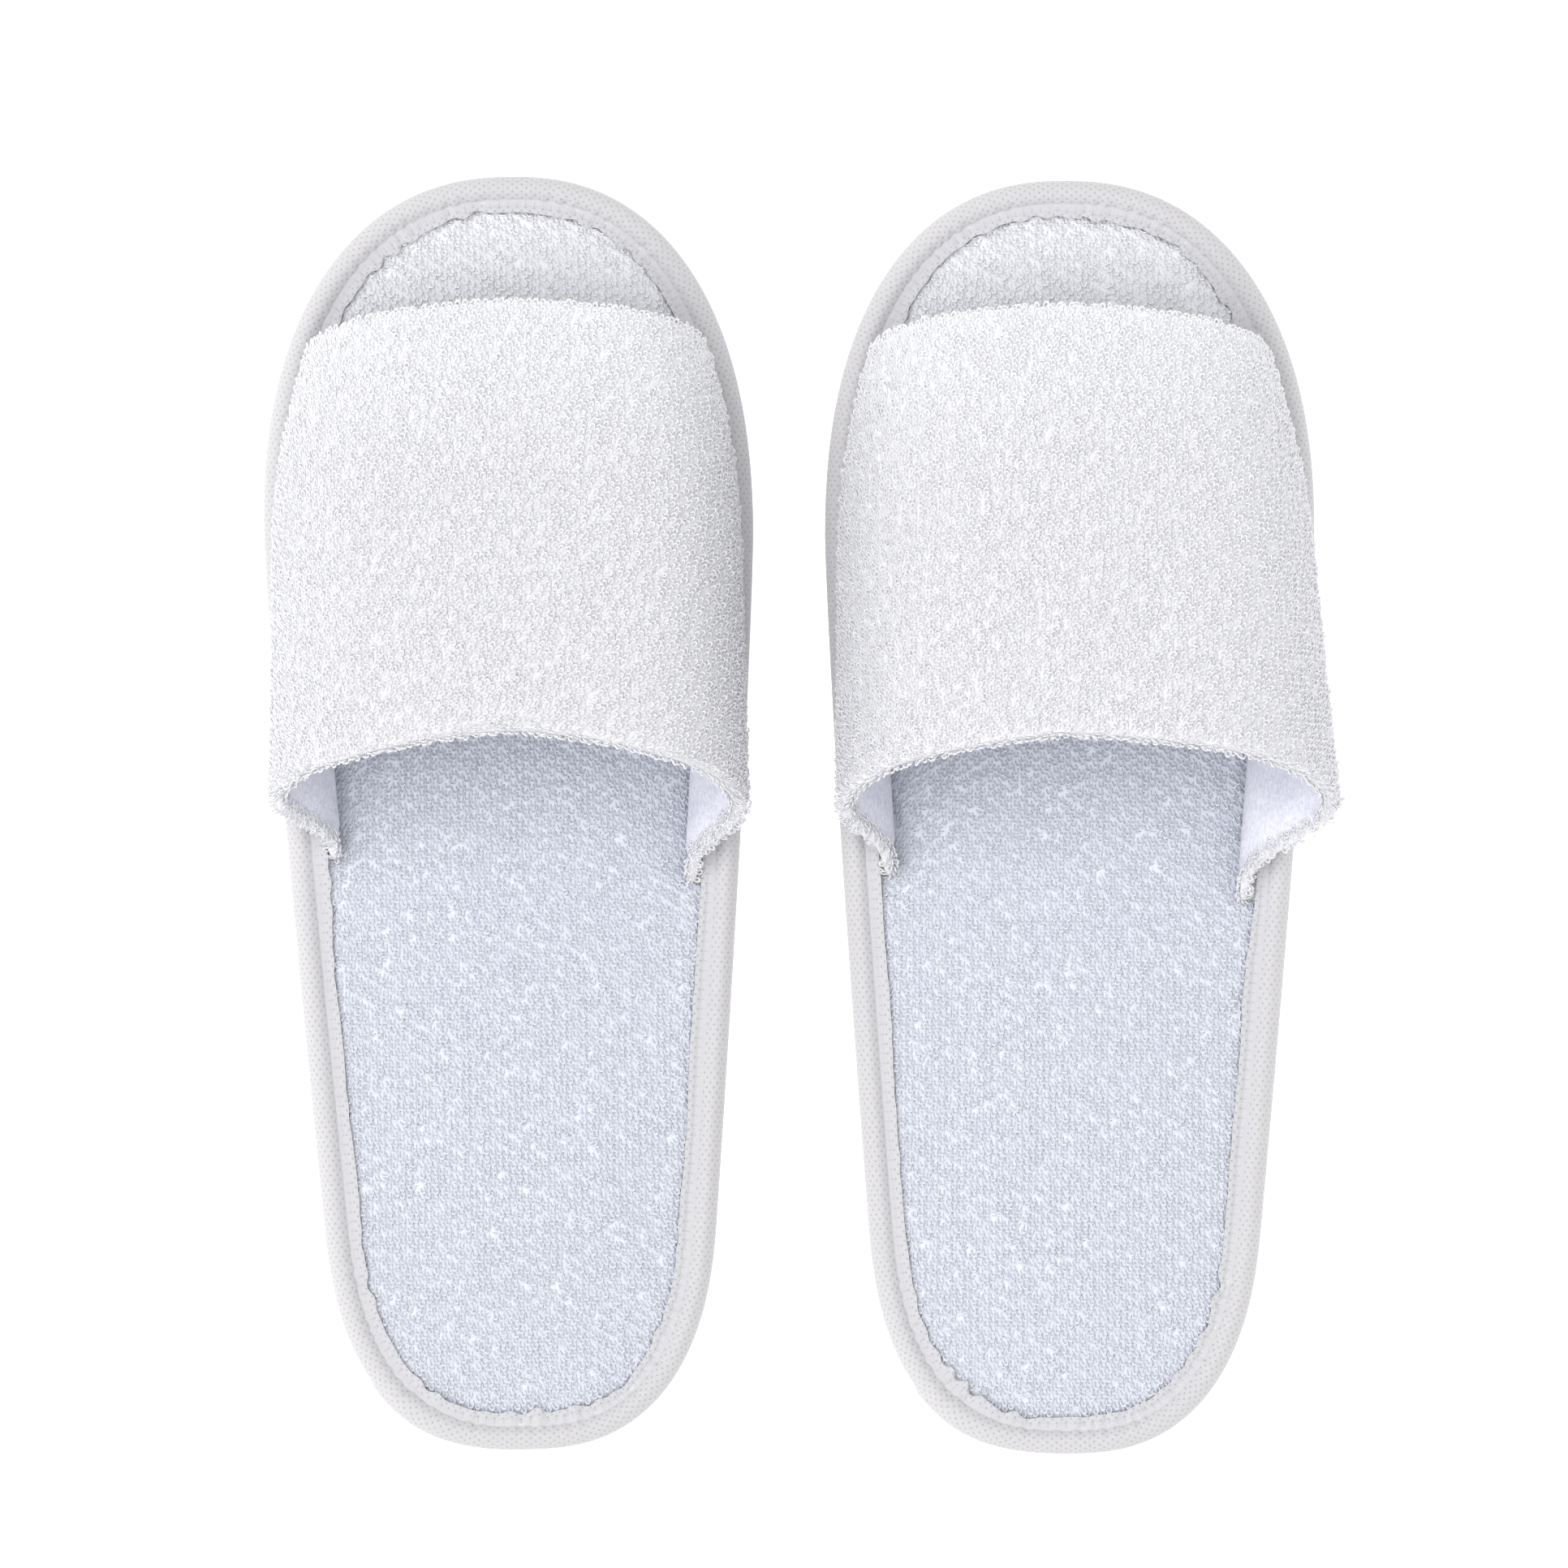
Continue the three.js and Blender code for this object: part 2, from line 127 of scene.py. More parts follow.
# Bonded dots in staggered rows: every fourth column and every second row of the tape's mesh.
DOT_COLUMNS = 4
DOT_PITCH = 2.23
DOT_ROW = 0.86
LAP_SHARE = 0.547
LAP_RISE = 0.45
DENT_DEPTH = 0.13
TAPE_COLUMNS = 314 * DOT_COLUMNS
TAPE_UNDER_ROWS = 12
TAPE_ROWS = 52
TAPE_LINING_ROWS = 8

# ---- Upper ----------------------------------------------------------------------------------------
# Its front and throat edges lie this far from the toe tip, and their ends further back by a sweep.
FRONT_MIDDLE = 27.0
FRONT_SWEEP = 17.0
THROAT_MIDDLE = 127.0
SWEEP_CURVE = 1.38
SWEEP_REACH = 0.8
FRONT_RISE = 30.0
THROAT_RISE = 50.0
# How far its side walls stand past the sole's edge, from beside the toes to the throat.
FRONT_OVERHANG = -3.0
OVERHANG_START = 49.0
OVERHANG_RUN = 86.0
OVERHANG_CURVE = 1.2
# The arch from the margin in the seam, over the crease and the wall, to the shoulder.
MARGIN_MIDDLE = 8.63
EDGE_RADIUS = 3.15
MARGIN_INSET = 4.4
CREASE_INSET = 10.0
CREASE_RUN = 2.0
CREASE_LIFT = 1.4
WALL_FOOT = 5.0
BULGE_HEIGHT = 0.45
SHOULDER_WIDTH = 0.76
SHOULDER_HEIGHT = 0.87
MARGIN_SQUEEZE = 0.2
# Where the margins start, from the toe tip, and where they end, past the throat's own ends.
MARGIN_STARTS = (32, 46)
MARGIN_ENDS = (-9, 5)
HEM_DEPTH = 5.5
HALF_PAD = EDGE_RADIUS - PILE
# The filling's swelling is simulated from a shape made this much too thin.
UPPER_SWELL = 0.7
INSOLE_SWELL = 0.5
FILLING_PRESSURE = 4
WADDING_DEPTH = 1.15
LINING_THICKNESS = 0.6
ARCH_SPANS = 12
ARCH_STEPS = [2, 1, 2, 7, 10, 16]
LENGTH_STEPS = 40
ROUND_STEPS = 6


def mix(start, end, share):
    return start + (end - start) * share


def smoothstep(value, low, high):
    share = np.clip((value - low) / (high - low), 0, 1)
    return share * share * (3 - 2 * share)


def unit(vectors):
    return vectors / np.maximum(np.linalg.norm(vectors, axis=-1, keepdims=True), 1e-12)


# ---- The sole's outline ---------------------------------------------------------------------------

def half_width(from_toe):
    waist = SOLE_LENGTH - HEEL_CAP_LENGTH - TOE_CAP_LENGTH
    share = np.maximum(from_toe - TOE_CAP_LENGTH, 0) / waist
    taper = BALL_HALF_WIDTH - (BALL_HALF_WIDTH - HEEL_HALF_WIDTH) * share**WAIST_CURVE
    before = np.clip(1 - from_toe / TOE_CAP_LENGTH, 0, 1)
    past = np.clip((from_toe - SOLE_LENGTH + HEEL_CAP_LENGTH) / HEEL_CAP_LENGTH, 0, 1)
    toe = (1 - before**TOE_ROUNDNESS) ** (1 / TOE_ROUNDNESS)
    heel = (1 - past**HEEL_ROUNDNESS) ** (1 / HEEL_ROUNDNESS)
    return taper * toe * heel


def middle_line(side, from_toe):
    return -side * TOE_LEAN * np.clip(1 - from_toe / TOE_CAP_LENGTH, 0, 1) ** 2


class Outline:
    """The sole's edge, walked from the toe tip down the +X side and back up the other."""

    def __init__(self, side):
        turn = np.linspace(0, math.pi / 2, 300)
        toe = TOE_CAP_LENGTH * (1 - np.cos(turn) ** (2 / TOE_ROUNDNESS))
        heel = SOLE_LENGTH - HEEL_CAP_LENGTH * (1 - np.cos(turn[::-1]) ** (2 / HEEL_ROUNDNESS))
        waist = np.linspace(TOE_CAP_LENGTH, SOLE_LENGTH - HEEL_CAP_LENGTH, 200)[1:-1]
        from_toe = np.concatenate([toe, waist, heel])
        middle, half = middle_line(side, from_toe), half_width(from_toe)
        forward = SOLE_LENGTH / 2 - from_toe
        down = np.stack([middle + half, forward], 1)
        up = np.stack([middle - half, forward], 1)[::-1]
        self.path = np.concatenate([down, up[1:]])
        steps = np.linalg.norm(np.diff(self.path, axis=0), axis=1)
        self.walked = np.concatenate([[0], np.cumsum(steps)])
        self.length = self.walked[-1]

    def place(self, share):
        at = (share % 1) * self.length
        return np.stack([np.interp(at, self.walked, self.path[:, i]) for i in (0, 1)], -1)

    def inward(self, share):
        reach = 1.5 / self.length
        along = unit(self.place(share + reach) - self.place(share - reach))
        return np.stack([along[..., 1], -along[..., 0]], -1)

    def bend(self, share):
        """How sharply the edge turns, 1 per millimetre."""
        reach = 6 / self.length
        before, after = self.inward(share - reach), self.inward(share + reach)
        turned = np.linalg.norm(after - before, axis=-1)
        return turned / (2 * reach * self.length)

    def ring(self, share, inset, height):
        flat = self.place(share) + self.inward(share) * np.asarray(inset)[..., None]
        return np.concatenate([flat, np.broadcast_to(height, share.shape)[..., None]], -1)

    def depth(self, flat):
        """How far points lie in from the edge."""
        edge = self.place(np.linspace(0, 1, 500, endpoint=False))
        parts = np.array_split(flat, max(len(flat) // 4000, 1))
        return np.concatenate([
            np.linalg.norm(part[:, None] - edge[None], axis=2).min(1) for part in parts
        ])

    def holds(self, flat):
        from_toe = SOLE_LENGTH / 2 - flat[:, 1]
        inside = (from_toe > 0) & (from_toe < SOLE_LENGTH)
        half = half_width(np.clip(from_toe, 0, SOLE_LENGTH))
        return inside & (np.abs(flat[:, 0]) < half)

    def keep(self, x, y, inset):
        """The points that lie further in from the edge than inset."""
        flat = np.stack([x, y], 1)
        flat = flat[self.holds(flat)]
        return flat[self.depth(flat) > inset]


class Slipper:
    """One slipper. overhangs, sweeps and curves are those of its outer side, then of its inner side."""

    def __init__(self, name, side, toe_out, overhangs, sweeps, curves, slant):
        self.name = name
        self.side = side
        self.overhangs = {side: overhangs[0], -side: overhangs[1]}
        self.sweeps = {side: sweeps[0], -side: sweeps[1]}
        self.curves = {side: curves[0], -side: curves[1]}
        self.slant = math.radians(slant)
        self.body = name + "_slipper"
        self.outline = Outline(side)
        self.random = np.random.default_rng(7 + side)
        turn = Matrix.Rotation(math.radians(-side * toe_out), 4, "Z")
        edge = self.outline.place(np.linspace(0, 1, 4000)) * MM
        turned = np.array([(turn @ Vector((x, y, 0)))[:2] for x, y in edge])
        low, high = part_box(name + "_edge_binding")
        own_middle = (turned.min(0) + turned.max(0)) / 2
        middle = (low + high) / 2
        move = Vector((middle.x - own_middle[0], middle.y - own_middle[1], 0))
        self.matrix = Matrix.Translation(move) @ turn @ Matrix.Scale(MM, 4)


SLIPPERS = [
    Slipper("left", -1, 1.0, (4.0, 2.4), (28.0, 34.5), (SWEEP_CURVE, SWEEP_CURVE), -20),
    Slipper("right", 1, 0.4, (9.8, 1.8), (36.5, 31.5), (1.8, SWEEP_CURVE), -4),
]


# ---- Modelling helpers ----------------------------------------------------------------------------

def select_only(*objects):
    bpy.ops.object.select_all(action="DESELECT")
    for o in objects:
        o.select_set(True)
    bpy.context.view_layer.objects.active = objects[-1]


def corners(piece):
    flat = np.empty(len(piece.data.vertices) * 3, np.float32)
    piece.data.vertices.foreach_get("co", flat)
    return flat.reshape(-1, 3).astype(float)


def move_corners(piece, places):
    piece.data.vertices.foreach_set("co", np.asarray(places, np.float32).ravel())
    piece.data.update()


def edit(piece, *steps):
    """Runs edit-mode steps, each an operator and its settings, on the whole mesh."""
    select_only(piece)
    bpy.ops.object.mode_set(mode="EDIT")
    bpy.ops.mesh.select_all(action="SELECT")
    for operator, settings in steps:
        operator(**settings)
    bpy.ops.object.mode_set(mode="OBJECT")


def apply(piece, kind, **settings):
    select_only(piece)
    modifier = piece.modifiers.new(kind.lower(), kind)
    for key, value in settings.items():
        setattr(modifier, key, value)
    bpy.ops.object.modifier_apply(modifier=modifier.name)


def cloth_strip(name, columns, rows, fold, closed=()):
    """A flat grid of cloth that fold lays in its place: fold takes the grid's two shares, 0 to 1, and
    gives millimetres. closed names the edges that meet: "round" for the columns, "across" for the rows."""
    bpy.ops.object.select_all(action="DESELECT")
    bpy.ops.mesh.primitive_grid_add(x_subdivisions=columns, y_subdivisions=rows, size=2)
    piece = bpy.context.object
    piece.name = name
    flat = corners(piece)
    move_corners(piece, fold((flat[:, 0] + 1) / 2, (flat[:, 1] + 1) / 2))
    if closed:
        edit(piece, (bpy.ops.mesh.remove_doubles, {"threshold": 0.0005}))
    return piece


def close_ends(piece):
    """Caps every open edge loop and turns the faces outwards."""
    edit(
        piece,
        (bpy.ops.mesh.select_all, {"action": "DESELECT"}),
        (bpy.ops.mesh.select_non_manifold, {"extend": False}),
        (bpy.ops.mesh.fill_holes, {"sides": 0}),
        (bpy.ops.mesh.select_all, {"action": "SELECT"}),
        (bpy.ops.mesh.normals_make_consistent, {"inside": False}),
    )


def sole_ring(name, slipper, section, count=240):
    """A sole layer: a strip laid round the edge and over its section, with its two ends capped."""
    insets = np.array([inset for inset, _ in section], float)
    heights = np.array([height for _, height in section], float)

    def fold(share, over):
        at = over * (len(section) - 1)
        steps = np.arange(len(section))
        inset, height = np.interp(at, steps, insets), np.interp(at, steps, heights)
        return slipper.outline.ring(share, inset, height)

    piece = cloth_strip(name, count, len(section) - 1, fold, closed=("round",))
    close_ends(piece)
    return piece


def smooth(piece, degrees=40):
    select_only(piece)
    bpy.ops.object.shade_smooth_by_angle(angle=math.radians(degrees))


def set_in_place(piece, slipper, material, slot, *nodes):
    """Moves a finished piece into the frame, sets it on the body it rides on, and hides the CAD parts it
    stands in for.
    """
    piece.data.transform(slipper.matrix)
    piece.data.update()
    piece.data.materials.clear()
    piece.data.materials.append(material)
    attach(piece, slipper.body)
    if nodes:
        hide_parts(*[slipper.name + "_" + node for node in nodes])
    return piece


def sow_all(name, model, places, axes, tints):
    """Sows a model at every place and takes the model away."""
    piece = sow(name, model, places, axes, tints)
    bpy.data.objects.remove(model)
    return piece


def sow(name, model, places, axes, tints):
    """Copies a model to each place, turned and scaled by its axes, as one mesh of its own."""
    apply(model, "TRIANGULATE")
    shape = corners(model)
    count, size = len(places), len(shape)
    faces = np.empty(len(model.data.polygons) * 3, np.int32)
    model.data.polygons.foreach_get("vertices", faces)
    everywhere = np.einsum("nij,vj->nvi", axes, shape) + places[:, None]
    indices = (faces[None] + (np.arange(count) * size)[:, None]).ravel()
    mesh = bpy.data.meshes.new(name)
    mesh.vertices.add(count * size)
    mesh.vertices.foreach_set("co", everywhere.astype(np.float32).ravel())
    mesh.loops.add(len(indices))
    mesh.loops.foreach_set("vertex_index", indices.astype(np.int32))
    mesh.polygons.add(len(indices) // 3)
    mesh.polygons.foreach_set("loop_start", np.arange(0, len(indices), 3, dtype=np.int32))
    mesh.update(calc_edges=True)
    mesh.shade_smooth()
    reach = shape[:, 2] - shape[:, 2].min()
    for label, values in (("tint", np.repeat(tints, size)), ("tip", np.tile(reach / reach.max(), count))):
        mesh.attributes.new(label, "FLOAT", "POINT").data.foreach_set("value", values.astype(np.float32))
    add_cell_map(mesh, shape, faces, count)
    piece = bpy.data.objects.new(name, mesh)
    bpy.context.scene.collection.objects.link(piece)
    return piece


def add_cell_map(mesh, shape, faces, count):
    """Gives each copy a square cell of its own in a map named OFBake, its faces laid out inside it."""
    side = math.ceil(math.sqrt(count))
    span = shape.max(0) - shape.min(0)
    flat = ((shape - shape.min(0)) / np.maximum(span, 1e-9))[:, [0, 2]] * 0.8 + 0.1
    cell = np.stack([np.arange(count) % side, np.arange(count) // side], 1)
    spots = (cell[:, None] + flat[faces][None]) / side
    layer = mesh.uv_layers.new(name="OFBake")
    layer.data.foreach_set("uv", spots.astype(np.float32).ravel())


# ---- Smooth surfaces through rows of points ---------------------------------------------------------

def spline_shares(t):
    return 0.5 * np.stack([
        -t + 2 * t**2 - t**3,
        2 - 5 * t**2 + 3 * t**3,
        t + 4 * t**2 - 3 * t**3,
        -(t**2) + t**3,
    ])


class Skin:
    """A surface through a grid of points. Its rows close on themselves, its columns have two ends."""

    def __init__(self, points):
        self.points = points
        self.rows, self.columns = points.shape[:2]

    def at(self, row, column):
        column = np.clip(column, 0, self.columns - 1)
        row_from = np.floor(row).astype(int)
        column_from = np.clip(np.floor(column).astype(int), 0, self.columns - 2)
        row_shares = spline_shares(row - row_from)
        column_shares = spline_shares(column - column_from)
        place = 0
        for i in range(4):
            for j in range(4):
                rows = (row_from + i - 1) % self.rows
                columns = np.clip(column_from + j - 1, 0, self.columns - 1)
                share = row_shares[i] * column_shares[j]
                place = place + share[..., None] * self.points[rows, columns]
        return place

    def across(self, column):
        """Share of the way across the upper at a column."""
        return np.interp(column, np.arange(self.columns), arch_stations())

    def axes(self, row, column):
        """Unit directions across, along and out of the surface."""
        step = 0.3
        across = unit(self.at(row, column + step) - self.at(row, column - step))
        along = unit(self.at(row + step, column) - self.at(row - step, column))
        out = unit(np.cross(along, across))
        return across, unit(np.cross(across, out)), out


# ---- The upper's shape ------------------------------------------------------------------------------

def overhang(from_toe, throat_overhang):
    share = np.maximum((from_toe - OVERHANG_START) / OVERHANG_RUN, 0)
    return mix(FRONT_OVERHANG, throat_overhang, share**OVERHANG_CURVE)


def rise(from_toe):
    share = np.clip((from_toe - FRONT_MIDDLE) / (THROAT_MIDDLE - FRONT_MIDDLE), 0, 1)
    return mix(FRONT_RISE, THROAT_RISE, np.sin(share * math.pi / 2))


def near_edge(slipper, from_toe, across, inset, height):
    """A point at an inset from the sole's edge, on the side that across, -1 or 1, gives."""
    slope = half_width(from_toe + 0.5) - half_width(from_toe - 0.5)
    inward = unit(np.stack([-np.ones_like(slope), slope], -1))
    half = half_width(from_toe) + inward[..., 0] * inset
    moved = from_toe + inward[..., 1] * inset
    x = middle_line(slipper.side, moved) + across * half
    return np.stack([x, moved, np.full_like(x, height)], -1)


def half_arch(slipper, from_toe, across):
    """The arch's control points on one side, from the margin up to the shoulder."""
    top = rise(from_toe)
    widest = half_width(from_toe) + overhang(from_toe, slipper.overhangs[across]) - EDGE_RADIUS
    middle = middle_line(slipper.side, from_toe)
    return [
        near_edge(slipper, from_toe, across, MARGIN_INSET, MARGIN_MIDDLE),
        near_edge(slipper, from_toe, across, CREASE_INSET - CREASE_RUN, MARGIN_MIDDLE),
        near_edge(slipper, from_toe, across, CREASE_INSET, MARGIN_MIDDLE + CREASE_LIFT),
        near_edge(slipper, from_toe, across, CREASE_INSET, MARGIN_MIDDLE + WALL_FOOT),
        *[
            np.stack([middle + across * widest * out, from_toe, MARGIN_MIDDLE + top * up], -1)
            for out, up in ((1, BULGE_HEIGHT), (SHOULDER_WIDTH, SHOULDER_HEIGHT))
        ],
    ]


def arch_place(slipper, from_toe, across):
    """The upper's middle surface; y is still the distance from the toe tip."""
    middle = middle_line(slipper.side, from_toe)
    crown = np.stack([middle, from_toe, MARGIN_MIDDLE + rise(from_toe)], -1)
    points = [*half_arch(slipper, from_toe, -1), crown, *half_arch(slipper, from_toe, 1)[::-1]]
    points = [2 * points[0] - points[1], *points, 2 * points[-1] - points[-2]]
    points = np.stack(points)
    span = np.clip(np.floor(across * ARCH_SPANS).astype(int), 0, ARCH_SPANS - 1)
    share = (across * ARCH_SPANS - span)[..., None]
    a, b, c, d = [
        np.take_along_axis(points, (span + i)[None, ..., None].repeat(3, -1), 0)[0] for i in range(4)
    ]
    ab, bc, cd = [
        np.maximum(np.linalg.norm(q - p, axis=-1, keepdims=True), 1e-6) ** 0.5
        for p, q in ((a, b), (b, c), (c, d))
    ]
    leave = ((b - a) / ab - (c - a) / (ab + bc) + (c - b) / bc) * bc
    arrive = ((c - b) / bc - (d - b) / (bc + cd) + (d - c) / cd) * bc
    cubic = 2 * b - 2 * c + leave + arrive
    square = -3 * b + 3 * c - 2 * leave - arrive
    return b + leave * share + square * share**2 + cubic * share**3


def on_side(sides, place):
    """One of two values by which side of the foot a place lies on."""
    return np.where(place < 0, sides[-1], sides[1])


def upper_span(slipper, across):
    """How far from the toe tip the upper's front and throat edges lie."""
    out = np.minimum(np.abs(across - 0.5) * 3 / SWEEP_REACH, 1)
    sweep = on_side(slipper.sweeps, across - 0.5)
    curve = on_side(slipper.curves, across - 0.5)
    return FRONT_MIDDLE + FRONT_SWEEP * out**SWEEP_CURVE, THROAT_MIDDLE + sweep * out**curve


def fullness(across):
    """How much of its full thickness the upper keeps: squeezed in the seam, full from the wall up."""
    from_margin = (0.5 - np.abs(across - 0.5)) * ARCH_SPANS
    return mix(MARGIN_SQUEEZE, 1, smoothstep(from_margin, 1, 4))


def upper_place(slipper, along, across, offset):
    """A point of the upper, offset out of its middle surface, in the sole's own coordinates."""
    def middle(along, across):
        front, throat = upper_span(slipper, across)
        return arch_place(slipper, mix(front, throat, along), across)

    step = 0.004
    east = middle(along, np.minimum(across + step, 1))
    west = middle(along, np.maximum(across - step, 0))
    out = unit(np.cross(east - west, middle(along + step, across) - middle(along - step, across)))
    place = middle(along, across) + out * (offset * fullness(across))[..., None]
    place[..., 1] = SOLE_LENGTH / 2 - place[..., 1]
    return place


def arch_stations():
    steps = [*ARCH_STEPS, *ARCH_STEPS[::-1]]
    spans = [span + np.arange(1, count + 1) / count for span, count in enumerate(steps)]
    return np.concatenate([[0], *spans]) / ARCH_SPANS


def pad_rows(length, half_pad):
    """The padded upper's section, as depths from the front edge and heights off its middle: from the
    middle of the inner face round the front edge, over the outer face and round the throat edge."""
    low, high = EDGE_RADIUS, length - EDGE_RADIUS
    face = np.linspace(0, 1, LENGTH_STEPS + 1)
    turn = np.linspace(0, math.pi, ROUND_STEPS + 1)[1:-1]
    half = LENGTH_STEPS // 2
    depths = [
        mix(high, low, face[half:-1]),
        [low],
        low - half_pad * np.sin(turn),
        mix(low, high, face),
        high + half_pad * np.sin(turn),
        mix(high, low, face[:half]),
    ]
    heights = [
        np.full(half, -half_pad),
        [-half_pad],
        -half_pad * np.cos(turn),
        np.full(LENGTH_STEPS + 1, half_pad),
        half_pad * np.cos(turn),
        np.full(half, -half_pad),
    ]
    return np.concatenate(depths), np.concatenate(heights)


FRONT_CORNER = LENGTH_STEPS // 2
OUTER_START = FRONT_CORNER + ROUND_STEPS
OUTER_END = OUTER_START + LENGTH_STEPS
THROAT_CORNER = OUTER_END + ROUND_STEPS


def swell(piece, held, reach):
    """Lets the filling swell a piece by cloth simulation. Its seams stay where held is 1, and no point
    moves further than reach."""
    start = corners(piece)
    piece.data.transform(Matrix.Scale(MM, 4))
    seams = piece.vertex_groups.new(name="seams")
    for corner, weight in enumerate(held):
        seams.add([corner], float(weight), "REPLACE")
    cloth = piece.modifiers.new("filling", "CLOTH")
    cloth.settings.vertex_group_mass = "seams"
    cloth.settings.use_pressure = True
    cloth.settings.uniform_pressure_force = FILLING_PRESSURE
    cloth.settings.effector_weights.gravity = 0
    for frame in range(1, 21):
        bpy.context.scene.frame_set(frame)
    select_only(piece)
    bpy.ops.object.modifier_apply(modifier=cloth.name)
    moved = corners(piece) / MM - start
    far = np.maximum(np.linalg.norm(moved, axis=1, keepdims=True), 1e-9)
    move_corners(piece, start + moved * (reach * np.tanh(far / reach) / far))
    bpy.context.scene.frame_set(1)


def upper_skin(slipper):
    """The padded upper's surface, held at its seams and swollen by its filling."""
    stations = arch_stations()
    front, throat = upper_span(slipper, stations)
    half_pad = HALF_PAD - UPPER_SWELL
    sections = [pad_rows(length, half_pad) for length in throat - front]
    depth = np.stack([section[0] for section in sections], 1)
    offset = np.stack([section[1] for section in sections], 1)
    across = np.broadcast_to(stations, depth.shape)
    points = upper_place(slipper, depth / (throat - front), across, offset)
    rows, columns = depth.shape

    def fold(u, v):
        row = np.round(v * rows).astype(int) % rows
        return points[row, np.round((1 - u) * (columns - 1)).astype(int)]

    pad = cloth_strip("pad", columns - 1, rows, fold, closed=("across",))
    close_ends(pad)
    tree = KDTree(len(pad.data.vertices))
    for corner, place in enumerate(corners(pad)):
        tree.insert(place, corner)
    tree.balance()
    spot = np.array([tree.find(place)[1] for place in points.reshape(-1, 3)])
    from_margin = (0.5 - np.abs(across - 0.5)) * ARCH_SPANS
    held = np.zeros(len(pad.data.vertices))
    held[spot] = 1 - smoothstep(from_margin, 1.2, 3.2).ravel()
    swell(pad, held, UPPER_SWELL * 1.3)
    swollen = corners(pad)[spot].reshape(points.shape)
    bpy.data.objects.remove(pad)
    return Skin(swollen)


class Cloth:
    """Cloth coordinates on a skin, in millimetres: p across from the crown, q along from a straight line
    over the foot, so that a knit laid on it runs as it does on the flat cloth."""

    def __init__(self, skin, line_from_toe=92):
        self.skin = skin
        points = skin.points
        middle = (skin.columns - 1) // 2
        across = np.linalg.norm(np.diff(points, axis=1), axis=2)
        p = np.concatenate([np.zeros((skin.rows, 1)), np.cumsum(across, 1)], 1)
        self.p = p - p[:, middle:middle + 1]
        along = np.linalg.norm(np.diff(points, axis=0), axis=2)
        q = np.concatenate([np.zeros((1, skin.columns)), np.cumsum(along, 0)], 0)
        line = SOLE_LENGTH / 2 - line_from_toe
        rows = np.arange(OUTER_START, OUTER_END + 1)
        zero = [np.interp(-line, -points[rows, c, 1], q[rows, c]) for c in range(skin.columns)]
        self.q = q - np.array(zero)

    def find(self, p, q):
        """Rows and columns of the skin at cloth coordinates."""
        row = np.interp(q, self.q[:, (self.skin.columns - 1) // 2], np.arange(self.skin.rows))
        column = np.zeros_like(p)
        for _ in range(5):
            for r in np.unique(np.round(row).astype(int)):
                here = np.round(row).astype(int) == r
                column[here] = np.interp(p[here], self.p[r], np.arange(self.skin.columns))
            for c in np.unique(np.round(column).astype(int)):
                here = np.round(column).astype(int) == c
                row[here] = np.interp(q[here], self.q[:, c], np.arange(self.skin.rows))
        return row, column


def lattice(width, length, column, row, slant):
    """Staggered knit positions that cover a width and a length, turned by slant."""
    reach = math.hypot(width, length) / 2
    i, j = np.meshgrid(
        np.arange(-math.ceil(reach / column), math.ceil(reach / column) + 1),
        np.arange(-math.ceil(reach / row), math.ceil(reach / row) + 1),
    )
    x = i.ravel() * column
    y = (j.ravel() + 0.5 * (i.ravel() % 2)) * row
    return x * math.cos(slant) + y * math.sin(slant), y * math.cos(slant) - x * math.sin(slant)


# ---- Terry loops ------------------------------------------------------------------------------------

def spun_strand(sides, radius, away, steps, degrees):
    """A strand spun about the Y axis into part of a ring, its two ends capped."""
    bpy.ops.object.select_all(action="DESELECT")
    bpy.ops.mesh.primitive_circle_add(vertices=sides, radius=radius, location=(away, 0, 0))
    strand = bpy.context.object
    bpy.ops.object.transform_apply(location=True)
    turn = {"steps": steps, "angle": math.radians(degrees), "center": (0, 0, 0), "axis": (0, 1, 0)}
    edit(strand, (bpy.ops.mesh.spin, turn))
    close_ends(strand)
    return strand


def bearings(places):
    """Bearings of points about the Y axis."""
    return np.arctan2(places[:, 2], places[:, 0])


def stood_up(places, middle):
    """X and Z of points turned about the Y axis until the bearing middle points up."""
    turn = math.pi / 2 - middle
    x = places[:, 0] * math.cos(turn) - places[:, 2] * math.sin(turn)
    z = places[:, 0] * math.sin(turn) + places[:, 2] * math.cos(turn)
    return x, z


def terry_loop(width, height):
    """One loop of yarn: a three-sided strand spun round, its feet drawn in and sunk in the cloth."""
    loop = spun_strand(3, STRAND, 0.5, 5, 265)
    places = corners(loop)
    x, z = stood_up(places, np.angle(np.exp(1j * bearings(places)).sum()))
    z -= z.min()
    x *= width * (1 - 0.3 * (1 - z / z.max()) ** 1.5)
    z = z * height / z.max() - LOOP_FOOT
    move_corners(loop, np.stack([x, places[:, 1], z], 1))
    return loop


def loop_field(slipper, labels, size, places, directions, turn, lean, far):
    """Sows a field of loops as two pieces, split where far is true. Each loop is turned about the
    surface's normal, the last of the directions, and then tipped over."""
    random = slipper.random
    across, along, out = directions
    widths = random.uniform(*LOOP_SPREAD, len(places))
    heights = random.uniform(*LOOP_SPREAD, len(places))
    tints = random.random(len(places))
    side = across * np.cos(turn)[:, None] + along * np.sin(turn)[:, None]
    ahead = along * np.cos(turn)[:, None] - across * np.sin(turn)[:, None]
    up = out * np.cos(lean)[:, None] + ahead * np.sin(lean)[:, None]
    depth = ahead * np.cos(lean)[:, None] - out * np.sin(lean)[:, None]
    axes = np.stack([side * widths[:, None], depth, up * heights[:, None]], -1)
    model = terry_loop(*size)
    for part, label in ((~far, labels[0]), (far, labels[1])):
        yield sow(slipper.name + label, model, places[part], axes[part], tints[part])
    bpy.data.objects.remove(model)


